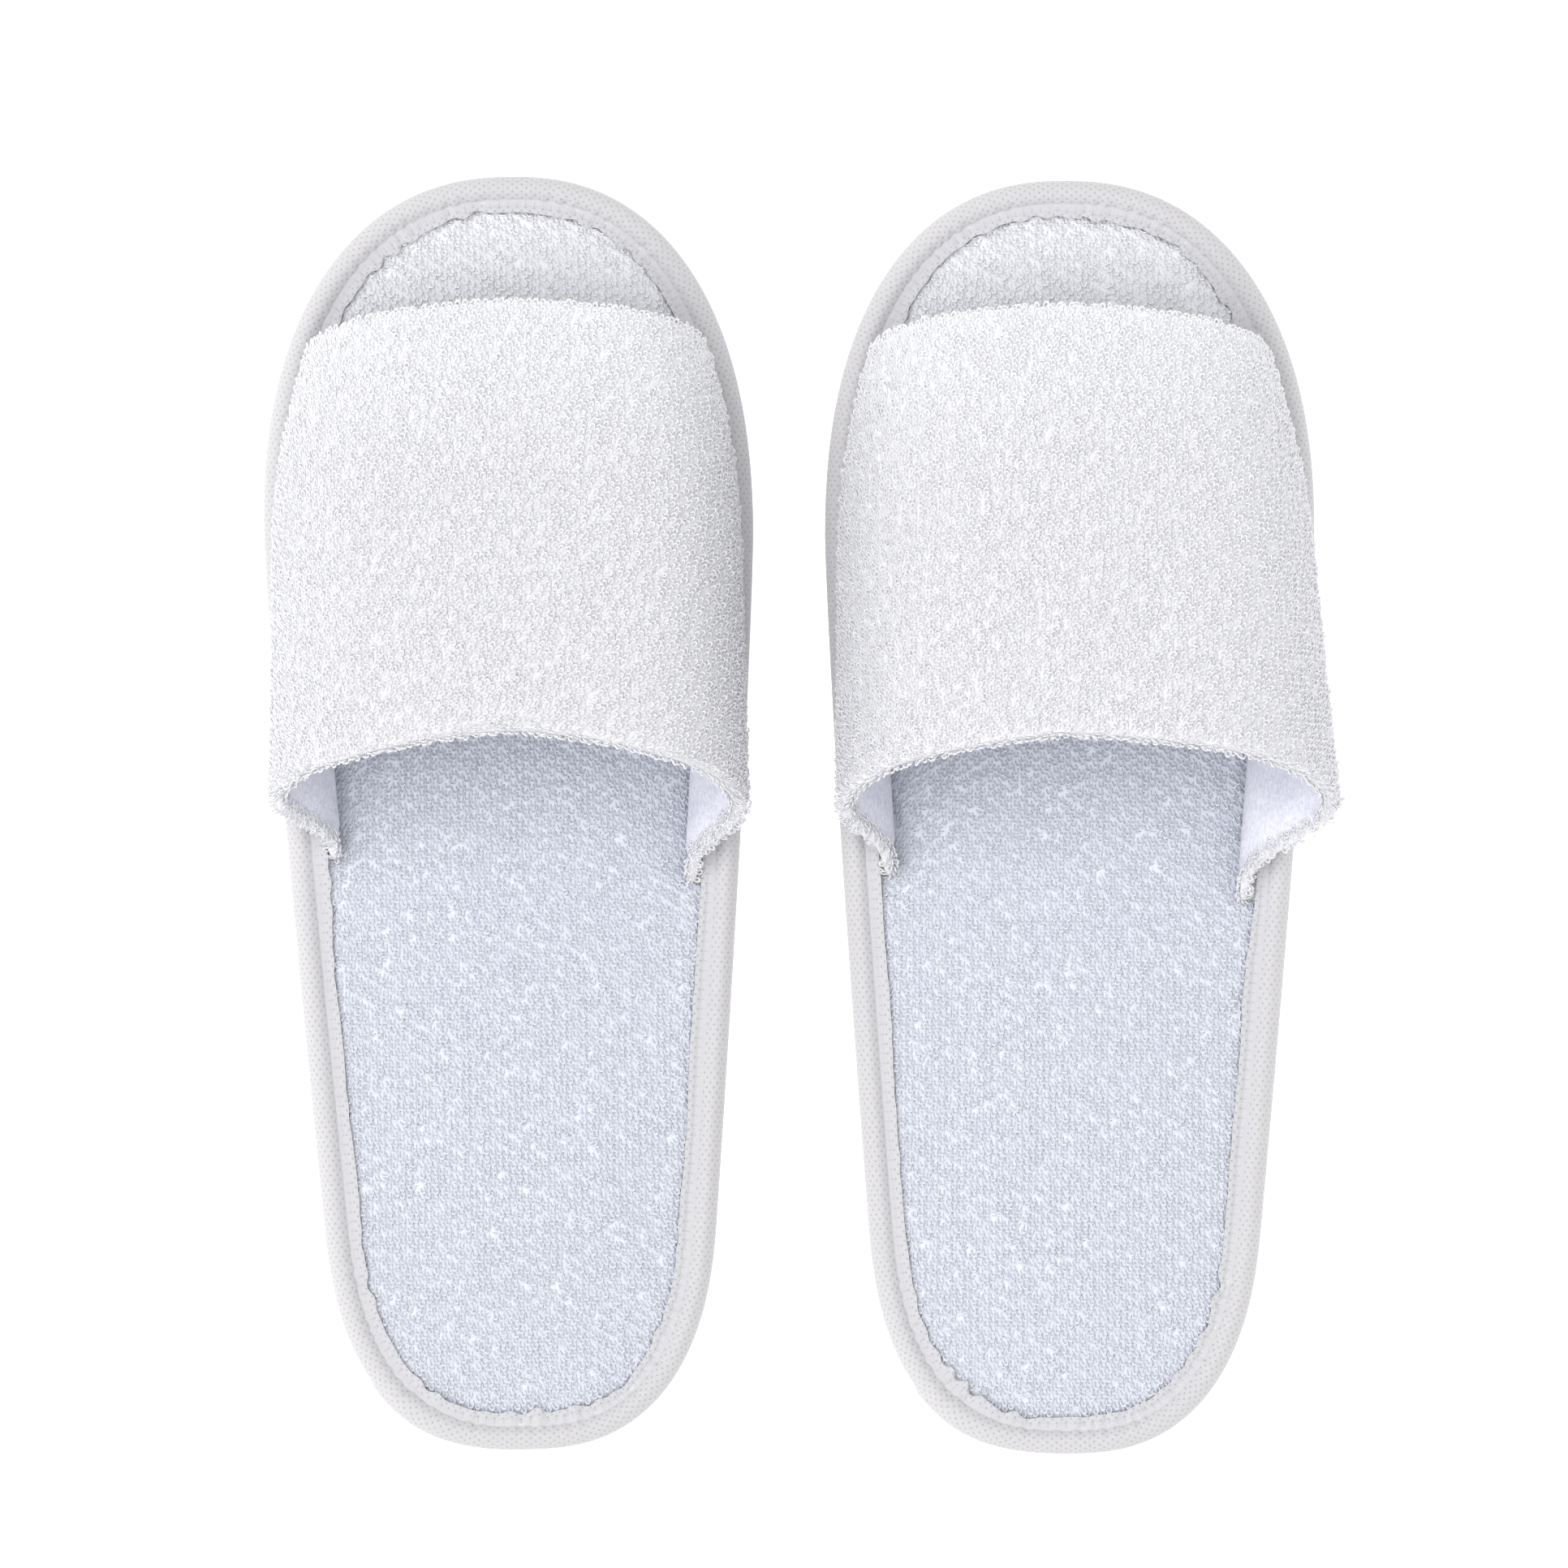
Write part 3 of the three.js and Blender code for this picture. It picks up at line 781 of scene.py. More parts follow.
def insole_loops(slipper, cover):
    """Rows of loops on the insole, all leaning to the heel but for a few strays."""
    random = slipper.random
    x, y = lattice(120, SOLE_LENGTH, INSOLE_COLUMN, INSOLE_ROW, 0)
    x = x + random.normal(0, 0.1, len(x))
    y = y + random.normal(0, 0.13, len(x))
    flat = slipper.outline.keep(x, y, LOOPS_FROM_EDGE)
    faces = [tuple(face.vertices) for face in cover.data.polygons]
    tree = BVHTree.FromPolygons([tuple(place) for place in corners(cover)], faces)
    hits = [tree.ray_cast(Vector((a, b, 40)), Vector((0, 0, -1))) for a, b in flat]
    places = np.array([hit[0] for hit in hits])
    out = np.array([hit[1] for hit in hits])
    across = unit(np.cross(np.array([0.0, 1, 0])[None], out))
    along = np.cross(out, across)
    count = len(places)
    depth = slipper.outline.depth(flat)
    flattened = smoothstep(-depth, -12, -8)
    turn = random.normal(math.pi, 0.2, count)
    stray = random.random(count) < 0.04
    turn[stray] += random.uniform(-1.6, 1.6, stray.sum())
    lean = np.clip(random.normal(1.1, 0.08, count) + 0.05 * flattened, 0.2, 1.35)
    labels = ("_insole_loops_toe", "_insole_loops_heel")
    directions = (across, along, out)
    return loop_field(slipper, labels, INSOLE_LOOP, places, directions, turn, lean, flat[:, 1] < 10)


def upper_loops(slipper, skin):
    """Loops all over the upper's terry, on a knit laid askew, up to its hems and its creases."""
    random = slipper.random
    cloth = Cloth(skin)
    p, q = lattice(230, 180, UPPER_COLUMN, UPPER_ROW, slipper.slant)
    p = p + random.normal(0, 0.1, len(p))
    q = q + random.normal(0, 0.1, len(p))
    near = (np.abs(p) < cloth.p.max()) & (q > cloth.q.min()) & (q < cloth.q.max())
    p, q = p[near], q[near]
    row, column = cloth.find(p, q)
    start, end = hem_rows(skin)
    fits = (row > start) & (row < end)
    fits &= np.abs(skin.across(column) - 0.5) < 0.5 - 1.7 / ARCH_SPANS
    fits &= np.abs(skin_error(cloth, row, column, p, q)) < 1.0
    row, column = row[fits], column[fits]
    places = skin.at(row, column)
    directions = skin.axes(row, column)
    count = len(places)
    turn = random.normal(math.pi - slipper.slant, 0.45, count)
    lean = np.clip(random.normal(1.12, 0.14, count), 0.4, 1.38)
    labels = ("_upper_loops_front", "_upper_loops_throat")
    middle = (OUTER_START + OUTER_END) / 2
    return loop_field(slipper, labels, UPPER_LOOP, places, directions, turn, lean, row > middle)


def skin_error(cloth, row, column, p, q):
    """How far a found row and column lie from the cloth coordinates that were asked for."""
    every_row, every_column = np.arange(cloth.skin.rows), np.arange(cloth.skin.columns)
    rows = np.clip(np.round(row).astype(int), 0, cloth.skin.rows - 1)
    columns = np.clip(np.round(column).astype(int), 0, cloth.skin.columns - 1)
    at_row = [np.interp(c, every_column, cloth.p[r]) for r, c in zip(rows, column)]
    at_column = [np.interp(r, every_row, cloth.q[:, c]) for r, c in zip(row, columns)]
    return np.hypot(np.array(at_row) - p, np.array(at_column) - q)


# ---- Upper pieces -----------------------------------------------------------------------------------

def hem_rows(skin):
    """Rows where the turned-in terry ends, inside the front and throat edges."""
    step = np.linalg.norm(np.diff(skin.points[OUTER_START:OUTER_END, 38], axis=0), axis=1).mean()
    turned = (HEM_DEPTH - EDGE_RADIUS) / step
    return FRONT_CORNER - turned, THROAT_CORNER + turned


def upper_cover(slipper, skin):
    """The terry's ground cloth over the outer face and round both edges, up to its hems."""
    start, end = hem_rows(skin)

    def fold(u, v):
        return skin.at(mix(start, end, v), mix(skin.columns - 1, 0, u))

    piece = cloth_strip(slipper.name + "_upper_terry", 132, 132, fold)
    apply(piece, "SOLIDIFY", thickness=GROUND, offset=-1)
    smooth(piece, 60)
    return piece


def upper_wadding(slipper, skin):
    """The padding, as much thinner in the seam as the upper is."""
    def fold(u, v):
        row, column = v * skin.rows, mix(skin.columns - 1, 0, u)
        _, _, out = skin.axes(row, column)
        return skin.at(row, column) - out * (WADDING_DEPTH * fullness(skin.across(column)))[:, None]

    piece = cloth_strip(slipper.name + "_upper_wadding", 76, 92, fold, closed=("across",))
    close_ends(piece)
    smooth(piece, 60)
    return piece


def upper_lining(slipper, skin):
    """The lining on the inner face, its two ends tucked under the terry's hems."""
    start, end = hem_rows(skin)
    first, last = end - 0.6, skin.rows + start + 0.6

    def fold(u, v):
        row = mix(first, last, v)
        column = mix(skin.columns - 1, 0, u)
        _, _, out = skin.axes(row, column)
        from_end = np.minimum(row - first, last - row)
        raised = mix(-GROUND - 0.05, 0.1, smoothstep(from_end, 0.7, 1.5))
        return skin.at(row, column) + out * raised[:, None]

    piece = cloth_strip(slipper.name + "_brushed_lining", 120, 48, fold)
    apply(piece, "SOLIDIFY", thickness=LINING_THICKNESS, offset=1)
    smooth(piece, 60)
    return piece


def lining_cut(skin):
    """The lining's flat size in metres: across the foot, and from hem to hem."""
    start, end = hem_rows(skin)
    rows = np.linspace(end, skin.rows + start, 60)
    columns = np.linspace(0, skin.columns - 1, 120)

    def walked(row, column):
        return np.linalg.norm(np.diff(skin.at(row, column), axis=0), axis=1).sum()

    across = walked(np.full(len(columns), rows.mean()), columns)
    along = np.mean([walked(rows, np.full(len(rows), column)) for column in columns])
    return float(across * MM), float(along * MM)


def stitch(length, radius):
    """One visible run of thread, its two ends diving into the cloth."""
    piece = spun_strand(6, radius, length, 6, -60)
    places = corners(piece)
    angle = bearings(places)
    x, z = stood_up(places, (angle.min() + angle.max()) / 2)
    move_corners(piece, np.stack([x, places[:, 1], z - z.max() + radius], 1))
    return piece


def hem_stitches(name, skin, row):
    columns = np.linspace(4, skin.columns - 5, 52)
    rows = np.full(len(columns), float(row))
    across, along, out = skin.axes(rows, columns)
    axes = np.stack([across, along, out], -1)
    places = skin.at(rows, columns) + out * 0.25
    return sow_all(name, stitch(2.6, 0.2), places, axes, np.full(len(columns), 0.5))


# ---- Sole pieces ------------------------------------------------------------------------------------

def tread_sole(slipper):
    """The outsole: its rim recessed under the tape, and studs all over its tread."""
    piece = sole_ring(slipper.name + "_tread_sole", slipper, [
        (9.2, 0.4), (8.4, 0.5), (8.4, 1.6), (LAYER_INSET, 1.75), (LAYER_INSET, OUTSOLE_TOP),
    ])
    apply(piece, "BEVEL", width=0.15, segments=2, limit_method="ANGLE")
    x, y = lattice(120, SOLE_LENGTH, 2.6, 4.6, 0)
    flat = slipper.outline.keep(x, y, STUDS_FROM_EDGE)
    bpy.ops.object.select_all(action="DESELECT")
    bpy.ops.mesh.primitive_cone_add(vertices=4, radius1=1.15, radius2=1.75, depth=0.55)
    stud = bpy.context.object
    edit(stud, (bpy.ops.transform.resize, {"value": (0.85, 1.5, 1)}))
    places = np.concatenate([flat, np.full((len(flat), 1), 0.275)], 1)
    axes = np.broadcast_to(np.eye(3), (len(flat), 3, 3))
    studs = sow_all("studs", stud, places, axes, np.zeros(len(flat)))
    select_only(studs, piece)
    bpy.ops.object.join()
    smooth(piece, 25)
    return piece


def insole_board(slipper):
    section = [(LAYER_INSET, height) for height in BOARD_HEIGHTS]
    piece = sole_ring(slipper.name + "_fibre_board", slipper, section)
    apply(piece, "BEVEL", width=0.2, segments=2, limit_method="ANGLE")
    smooth(piece)
    return piece


def covered(slipper, flat):
    """1 where the upper's margins are sewn in along the sole, 0 where the sole is free."""
    from_toe = SOLE_LENGTH / 2 - flat[:, 1]
    margin_end = THROAT_MIDDLE + on_side(slipper.sweeps, flat[:, 0])
    return smoothstep(from_toe, *MARGIN_STARTS) * (1 - smoothstep(from_toe - margin_end, *MARGIN_ENDS))


def cover_height(slipper, flat):
    """Top of the insole's ground cloth: squeezed at the seam, crowned inside, and held down along the
    upper's margins."""
    inset = slipper.outline.depth(flat)
    free = np.interp(inset, *FREE_INSOLE)
    held = np.interp(inset, *HELD_INSOLE)
    return mix(free, held, covered(slipper, flat))


def insole_cover(slipper):
    outline = slipper.outline
    round_edge = np.linspace(0, 1, 1200)
    ends = outline.place(round_edge) + outline.inward(round_edge) * LAYER_INSET
    scaled = ends / [BALL_HALF_WIDTH, SOLE_LENGTH / 2]
    bearing = np.arctan2(scaled[:, 1], scaled[:, 0])
    order = np.argsort(bearing)
    reach = np.linalg.norm(scaled, axis=1)

    def fold(u, v):
        x, y = 2 * u - 1, 2 * v - 1
        disc = np.stack([x * np.sqrt(1 - y * y / 2), y * np.sqrt(1 - x * x / 2)], 1)
        angle = np.arctan2(disc[:, 1], disc[:, 0])
        far = np.interp(angle, bearing[order], reach[order], period=2 * math.pi)
        flat = disc * far[:, None] * [BALL_HALF_WIDTH, SOLE_LENGTH / 2]
        height = cover_height(slipper, flat)
        height = height - INSOLE_SWELL * smoothstep(outline.depth(flat), 8, 14)
        return np.concatenate([flat, height[:, None]], 1)

    piece = cloth_strip(slipper.name + "_insole_terry", 45, 95, fold)
    inset = outline.depth(corners(piece)[:, :2])
    under_upper = covered(slipper, corners(piece)[:, :2])
    seam = mix(7.0, 10.5, under_upper)
    swell(piece, 1 - smoothstep(inset - seam, 0, 9), INSOLE_SWELL * 1.3)
    apply(piece, "SUBSURF", levels=1, render_levels=1)
    apply(piece, "SOLIDIFY", thickness=GROUND, offset=-1)
    smooth(piece, 60)
    return piece


def foam_pad(slipper):
    """The sponge, squeezed thin in the seam and full inside it."""
    insets = [LAYER_INSET, 5.8, 7.2, 9, 11.5, 14, 18, 22, 26]
    top = [(inset, min(np.interp(inset, *HELD_INSOLE), PAD_TOP + 0.05) - 0.65) for inset in insets]
    piece = sole_ring(slipper.name + "_foam_pad", slipper, [(LAYER_INSET, PAD_BOTTOM), *top])
    smooth(piece)
    return piece


def wave(share, cycles, seed):
    """A smooth random ripple that closes on itself, about -1 to 1."""
    phases = np.random.default_rng(seed).random(len(cycles))
    waves = [np.sin(2 * math.pi * (k * share + phase)) for k, phase in zip(cycles, phases)]
    return sum(waves) / math.sqrt(len(cycles))


class TapeSection:
    """The tape's outer face in section, walked from its lower edge to its free edge."""

    def __init__(self):
        control = np.array(TAPE_SECTION)
        ends = (2 * control[0] - control[1], 2 * control[-1] - control[-2])
        padded = np.concatenate([[ends[0]], control, [ends[1]]])
        steps = np.linspace(0, len(control) - 1 - 1e-9, 400)
        k = steps.astype(int)
        shares = spline_shares(steps - k)
        self.curve = sum(shares[i][:, None] * padded[k + i] for i in range(4))
        self.curve[:, 1] = np.maximum(self.curve[:, 1], 0)
        lengths = np.linalg.norm(np.diff(self.curve, axis=0), axis=1)
        self.walked = np.concatenate([[0], np.cumsum(lengths)])
        self.width = self.walked[-1]
        self.under = self.walked[np.argmax((self.curve[:, 0] < 1) & (self.curve[:, 1] > 2.6))]

    def place(self, at):
        return np.stack([np.interp(at, self.walked, self.curve[:, i]) for i in (0, 1)], -1)

    def out(self, at):
        along = unit(self.place(at + 0.3) - self.place(at - 0.3))
        return np.stack([-along[..., 1], along[..., 0]], -1)

    def row(self, index):
        """Rows lie wider apart under the sole than on the rim and the top."""
        return np.interp(index, [0, TAPE_UNDER_ROWS, TAPE_ROWS - 1], [0, self.under, self.width])


def binding_tape(slipper):
    outline = slipper.outline
    section = TapeSection()
    rows = TAPE_ROWS + TAPE_LINING_ROWS
    seeds = slipper.random.integers(0, 1000, 3)

    def fold(share, v):
        index = np.round(v * rows).astype(int) % rows
        column = np.round(share * TAPE_COLUMNS).astype(int)
        outer = index < TAPE_ROWS
        inner_share = (rows - 1 - index) / (TAPE_LINING_ROWS - 1)
        at = np.where(outer, section.row(index), inner_share * section.width)
        across = at / section.width
        place, out = section.place(at), section.out(at)
        inset, height = place[:, 0], place[:, 1]
        off = np.where(outer, 0.0, -TAPE_THICKNESS)
        curved = smoothstep(outline.bend(share), 0.004, 0.013)
        on_top = smoothstep(across, 0.62, 0.7)
        flange = smoothstep(across, 0.84, 1.0)
        # Gathers lie across the tape where it is eased round the toe and heel.
        lean = share + across * 0.006
        pleats = wave(lean, np.arange(130, 250, 13), seeds[0])
        seam = np.exp(-(((inset - STITCH_INSET) / 2.0) ** 2))
        off = off + (0.05 + 0.17 * curved) * pleats * seam * on_top
        # The free edge ruffles.
        ripple = wave(share, np.arange(60, 130, 9), seeds[1])
        drift = wave(share, np.arange(5, 22, 4), seeds[2])
        ripple = ripple * (0.5 + 0.8 * np.abs(drift))
        inset = inset + flange * ((0.08 + 0.26 * curved) * ripple + 0.3 * drift)
        lift = flange * ((0.05 + 0.2 * curved) * ripple + 0.12 * drift)
        # One end of the tape laps over the other near the heel, with its cut edge slanting.
        past = (share - LAP_SHARE) * outline.length + (across - 0.8) * 16
        off = off + LAP_RISE * smoothstep(past, -26, -8) * (1 - smoothstep(past, -0.5, 0.3))
        # Heat-bonded dents, staggered.
        dot_row = index // 2
        staggered = (column + dot_row * DOT_COLUMNS // 2) % DOT_COLUMNS == 0
        off = off - DENT_DEPTH * (outer & (index % 2 == 0) & staggered)
        inset, height = inset + out[:, 0] * off, height + out[:, 1] * off + lift
        return outline.ring(share, inset, np.maximum(height, 0.0))

    name = slipper.name + "_binding_tape"
    piece = cloth_strip(name, TAPE_COLUMNS, rows, fold, closed=("round", "across"))
    edit(piece, (bpy.ops.mesh.normals_make_consistent, {"inside": False}))
    scale_map(piece, TAPE_COLUMNS, rows)
    smooth(piece, 80)
    return piece


def scale_map(piece, across, along):
    """Makes the piece's map count the mesh's own columns and rows."""
    layer = piece.data.uv_layers[0]
    layer.name = "weave"
    spots = np.empty(len(layer.data) * 2, np.float32)
    layer.data.foreach_get("uv", spots)
    spots = spots.reshape(-1, 2) * [across, along]
    layer.data.foreach_set("uv", spots.astype(np.float32).ravel())


def edge_stitches(name, slipper, height, upside_down):
    outline = slipper.outline
    count = round(outline.length / STITCH_PITCH)
    share = (np.arange(count) + 0.5) / count
    inward = outline.inward(share)
    along = np.stack([-inward[:, 1], inward[:, 0], np.zeros(count)], 1)
    side = np.concatenate([inward, np.zeros((count, 1))], 1)
    up = np.broadcast_to([0.0, 0.0, -1.0 if upside_down else 1.0], (count, 3))
    axes = np.stack([along, side, up], -1)
    places = outline.ring(share, np.full(count, STITCH_INSET), height)
    return sow_all(name, stitch(3.0, 0.16), places, axes, share)


# ---- Materials --------------------------------------------------------------------------------------

class Value:
    """A socket whose arithmetic adds Math nodes."""

    def __init__(self, recipe, socket):
        self.recipe = recipe
        self.socket = socket

    def maths(self, operation, *others):
        node = self.recipe.node("Math", {"operation": operation}, self, *others)
        return Value(self.recipe, node.outputs[0])

    def __add__(self, other):
        return self.maths("ADD", other)

    def __radd__(self, other):
        return self.maths("ADD", other)

    def __sub__(self, other):
        return self.maths("SUBTRACT", other)

    def __mul__(self, other):
        return self.maths("MULTIPLY", other)

    def __rmul__(self, other):
        return self.maths("MULTIPLY", other)

    def __truediv__(self, other):
        return self.maths("DIVIDE", other)

    def __pow__(self, other):
        return self.maths("POWER", other)

    def __rsub__(self, other):
        node = self.recipe.node("Math", {"operation": "SUBTRACT"}, other, self)
        return Value(self.recipe, node.outputs[0])

    def wrapped(self):
        return self.maths("FRACT")

    def floor(self):
        return self.maths("FLOOR")

    def between(self, low, high):
        """0 below low, 1 above high and smooth in between."""
        settings = {"interpolation_type": "SMOOTHSTEP"}
        node = self.recipe.node("MapRange", settings, self, low, high, 0.0, 1.0)
        return Value(self.recipe, node.outputs[0])


class Recipe:
    """A material written as expressions on its nodes' sockets."""

    def __init__(self, name, **constants):
        self.material = bpy.data.materials.new(name)
        self.material.use_nodes = True
        self.tree = self.material.node_tree
        self.shader = self.tree.nodes["Principled BSDF"]
        for socket, value in constants.items():
            self.shader.inputs[socket.replace("_", " ")].default_value = value

    def node(self, kind, settings, *inputs, **named):
        made = self.tree.nodes.new("ShaderNode" + kind)
        for key, value in settings.items():
            setattr(made, key, value)
        for place, value in [*enumerate(inputs), *named.items()]:
            if value is not None:
                self.plug(value, made.inputs[place])
        return made

    def plug(self, value, socket):
        if isinstance(value, Value):
            self.tree.links.new(value.socket, socket)
        elif isinstance(value, bpy.types.NodeSocket):
            self.tree.links.new(value, socket)
        else:
            socket.default_value = value

    def where(self, stretch=(1, 1, 1)):
        """Object coordinates in millimetres, stretched."""
        place = self.node("TexCoord", {}).outputs["Object"]
        scale = tuple(1000 * s for s in stretch)
        return self.node("Mapping", {}, place, Scale=scale).outputs[0]

    def towards_toe(self):
        """0 at the heel and middle, 1 in front of the upper: the share by which colours turn whiter there,
        partly a less blue tint and partly painted light.
        """
        parts = self.node("SeparateXYZ", {}, self.where())
        return Value(self, parts.outputs[1]).between(70.0, 118.0)

    def noise(self, place, scale, detail=2.0, roughness=0.5):
        settings = {"noise_dimensions": "3D"}
        sizes = {"Scale": scale, "Detail": detail, "Roughness": roughness}
        made = self.node("TexNoise", settings, Vector=place, **sizes)
        return Value(self, made.outputs[0])

    def attribute(self, name):
        made = self.node("Attribute", {"attribute_type": "GEOMETRY", "attribute_name": name})
        return Value(self, made.outputs["Fac"])

    def blend(self, first, second, share):
        made = self.node("Mix", {"data_type": "RGBA"})
        self.plug(share, made.inputs[0])
        self.plug(first, made.inputs[6])
        self.plug(second, made.inputs[7])
        return made.outputs[2]

    def bump(self, height, distance, strength=1.0):
        made = self.node("Bump", {}, Strength=strength, Distance=distance * MM)
        self.plug(height, made.inputs["Height"])
        return made.outputs[0]

    def finish(self, **sockets):
        for socket, value in sockets.items():
            self.plug(value, self.shader.inputs[socket.replace("_", " ")])
        return self.material


def shade(red, green, blue):
    """A screen colour, 0 to 255, as light."""
    parts = [c / 255 for c in (red, green, blue)]
    light = [c / 12.92 if c <= 0.04045 else ((c + 0.055) / 1.055) ** 2.4 for c in parts]
    return (*light, 1.0)


def yarn_material(name, root, body, tip):
    """Cotton yarn of the loops: painted shade at the foot, a painted highlight at the bow, each loop a
    little different, and whiter at the toes, partly a less blue tint and partly painted light."""
    recipe = Recipe(name, Sheen_Weight=0.5, Sheen_Roughness=0.6, Specular_IOR_Level=0.2)
    tint, reach = recipe.attribute("tint"), recipe.attribute("tip")
    mottle = recipe.noise(recipe.where(), 0.12, 2.0)
    # Painted shade at each loop's foot and a painted highlight on its bow, by the height share in tip.
    foot = recipe.blend(root, body, reach.between(0.0, 0.55))
    lit = recipe.blend(foot, tip, reach.between(0.5, 1.0) * (0.3 + 0.7 * tint) * mottle.between(0.2, 0.7))
    # Whiter at the toes: partly a less blue tint, partly painted light.
    whiter_and_lit_at_toe = recipe.blend(lit, shade(251, 251, 253), recipe.towards_toe())
    return recipe.finish(Base_Color=whiter_and_lit_at_toe, Roughness=0.82 + 0.14 * tint)


def ground_material(name, low, high, pitch):
    """The knitted ground under the loops: ribs and courses with yarn fuzz."""
    recipe = Recipe(name, Roughness=0.95, Sheen_Weight=0.2, Specular_IOR_Level=0.2)
    place = recipe.where()
    parts = recipe.node("SeparateXYZ", {}, place)
    x, y = Value(recipe, parts.outputs[0]), Value(recipe, parts.outputs[1])
    ribs = (x * (2 * math.pi / pitch)).maths("SINE") * 0.5 + 0.5
    courses = (y * (2 * math.pi / (pitch * 0.8))).maths("SINE") * 0.5 + 0.5
    fuzz = recipe.noise(place, 2.6, 4.0, 0.65)
    weave = 0.35 * ribs + 0.25 * courses + 0.5 * fuzz
    yarns = recipe.blend(low, high, weave.between(0.25, 0.85))
    # The base colour turns whiter towards the toes: partly a less blue tint, partly painted light.
    return recipe.finish(
        Base_Color=recipe.blend(yarns, shade(243, 244, 249), recipe.towards_toe()),
        Roughness=0.88 + 0.1 * fuzz,
        Normal=recipe.bump(weave, 0.25, 0.7),
    )


def lining_material():
    recipe = Recipe("brushed lining", Sheen_Weight=0.3, Specular_IOR_Level=0.2)
    place = recipe.where()
    nap = recipe.noise(recipe.where((1, 0.45, 1)), 1.9, 5.0, 0.7)
    patches = recipe.noise(place, 0.09, 2.0)
    mixed = nap * 0.7 + patches * 0.3
    return recipe.finish(
        Base_Color=recipe.blend(shade(205, 206, 222), shade(240, 240, 250), mixed.between(0.3, 0.62)),
        Roughness=0.86 + 0.12 * nap,
        Normal=recipe.bump(nap, 0.18, 0.6),
    )


def tape_material():
    """Spunbonded tape: a felt of fine fibres, heat-bonded in staggered dots where it turns clearer."""
    recipe = Recipe("spunbond tape", Specular_IOR_Level=0.3)
    counted = recipe.node("UVMap", {"uv_map": "weave"}).outputs[0]
    parts = recipe.node("SeparateXYZ", {}, counted)
    column = Value(recipe, parts.outputs[0]) / DOT_COLUMNS
    row = Value(recipe, parts.outputs[1]) / 2
    fibres = recipe.noise(recipe.where((1, 0.35, 1)), 5.5, 5.0, 0.75)
    crossed = recipe.noise(recipe.where((0.35, 1, 1)), 6.5, 5.0, 0.75)
    felt = fibres * 0.5 + crossed * 0.5
    a = ((column + 0.5 * (row + 0.5).floor()) + 0.5).wrapped() - 0.5
    b = (row + 0.5).wrapped() - 0.5
    far = ((a * DOT_PITCH) ** 2.0 + (b * DOT_ROW) ** 2.0) ** 0.5
    patches = recipe.noise(recipe.where(), 0.35, 2.0)
    dot = (1 - far.between(0.14, 0.36)) * (0.55 + 0.6 * patches)
    cloth = recipe.blend(shade(198, 197, 200), shade(214, 213, 216), felt.between(0.35, 0.62))
    bonded = recipe.blend(shade(184, 175, 170), shade(174, 175, 188), row.between(19.0, 22.0))
    return recipe.finish(
        Base_Color=recipe.blend(cloth, bonded, dot),
        Roughness=0.78 - 0.25 * dot,
        Normal=recipe.bump(felt * 0.5 + dot * -0.6, 0.09, 0.7),
    )


def sole_material():
    recipe = Recipe("foamed sole", Specular_IOR_Level=0.35)
    place = recipe.where()
    pores = recipe.noise(place, 3.2, 4.0, 0.7)
    scuffs = recipe.noise(recipe.where((1, 0.15, 1)), 0.5, 3.0)
    worn = (pores * 0.6 + scuffs * 0.4).between(0.3, 0.7)
    return recipe.finish(
        Base_Color=recipe.blend(shade(214, 213, 210), shade(240, 240, 238), worn),
        Roughness=0.6 + 0.25 * pores,
        Normal=recipe.bump(pores, 0.06, 0.5),
    )


def board_material():
    recipe = Recipe("grey board", Specular_IOR_Level=0.25)
    fibres = recipe.noise(recipe.where((1, 0.25, 1)), 1.6, 6.0, 0.7)
    flecks = recipe.noise(recipe.where(), 2.8, 3.0, 0.6)
    base = recipe.blend(shade(186, 174, 152), shade(216, 206, 186), fibres.between(0.3, 0.7))
    return recipe.finish(
        Base_Color=recipe.blend(base, shade(140, 124, 100), flecks.between(0.66, 0.74)),
        Roughness=0.85 + 0.1 * fibres,
        Normal=recipe.bump(fibres, 0.08, 0.5),
    )


def foam_material():
    recipe = Recipe("open-cell foam", Specular_IOR_Level=0.2)
    place = recipe.where()
    cells = recipe.node("TexVoronoi", {"feature": "DISTANCE_TO_EDGE"}, Vector=place, Scale=1.6)
    wall = Value(recipe, cells.outputs["Distance"]).between(0.02, 0.3)
    patches = recipe.noise(place, 0.08, 2.0)
    base = recipe.blend(shade(238, 233, 216), shade(246, 243, 232), patches)
    # wall is 1 in the middle of each cell: the colour darkens there, painted shade in the cells' hollows.
    return recipe.finish(
        Base_Color=recipe.blend(base, shade(205, 198, 178), wall * 0.5),
        Roughness=0.85 + 0.1 * patches,
        Normal=recipe.bump(1 - wall, 0.25, 0.6),
    )


def thread_material():
    recipe = Recipe("twisted thread", Sheen_Weight=0.2, Specular_IOR_Level=0.35)
    parts = recipe.node("SeparateXYZ", {}, recipe.where())
    x, y, z = [Value(recipe, output) for output in parts.outputs]
    twist = ((x + y + z) * 9.0).maths("SINE") * 0.5 + 0.5
    return recipe.finish(
        Base_Color=recipe.blend(shade(222, 221, 222), shade(242, 242, 243), twist),
        Roughness=0.5 + 0.25 * twist,
        Normal=recipe.bump(twist, 0.05, 0.6),
    )


# ---- Making the pair ----------------------------------------------------------------------------------

# Each yarn's first colour is painted shade at the loops' feet, and its last a painted highlight on their
# bows.
upper_yarn = yarn_material(
    "upper terry yarn", shade(235, 235, 239), shade(243, 243, 247), shade(248, 248, 251)
)
insole_yarn = yarn_material(
    "insole terry yarn", shade(224, 228, 238), shade(229, 232, 241), shade(234, 237, 246)
)
upper_ground = ground_material(
    "upper knit ground", shade(233, 233, 236), shade(243, 243, 246), 1.1
)
insole_ground = ground_material(
    "insole knit ground", shade(225, 228, 238), shade(235, 238, 246), INSOLE_COLUMN
)
lining_cloth = lining_material()
tape_cloth = tape_material()
sole_foam = sole_material()
board = board_material()
foam = foam_material()
thread = thread_material()

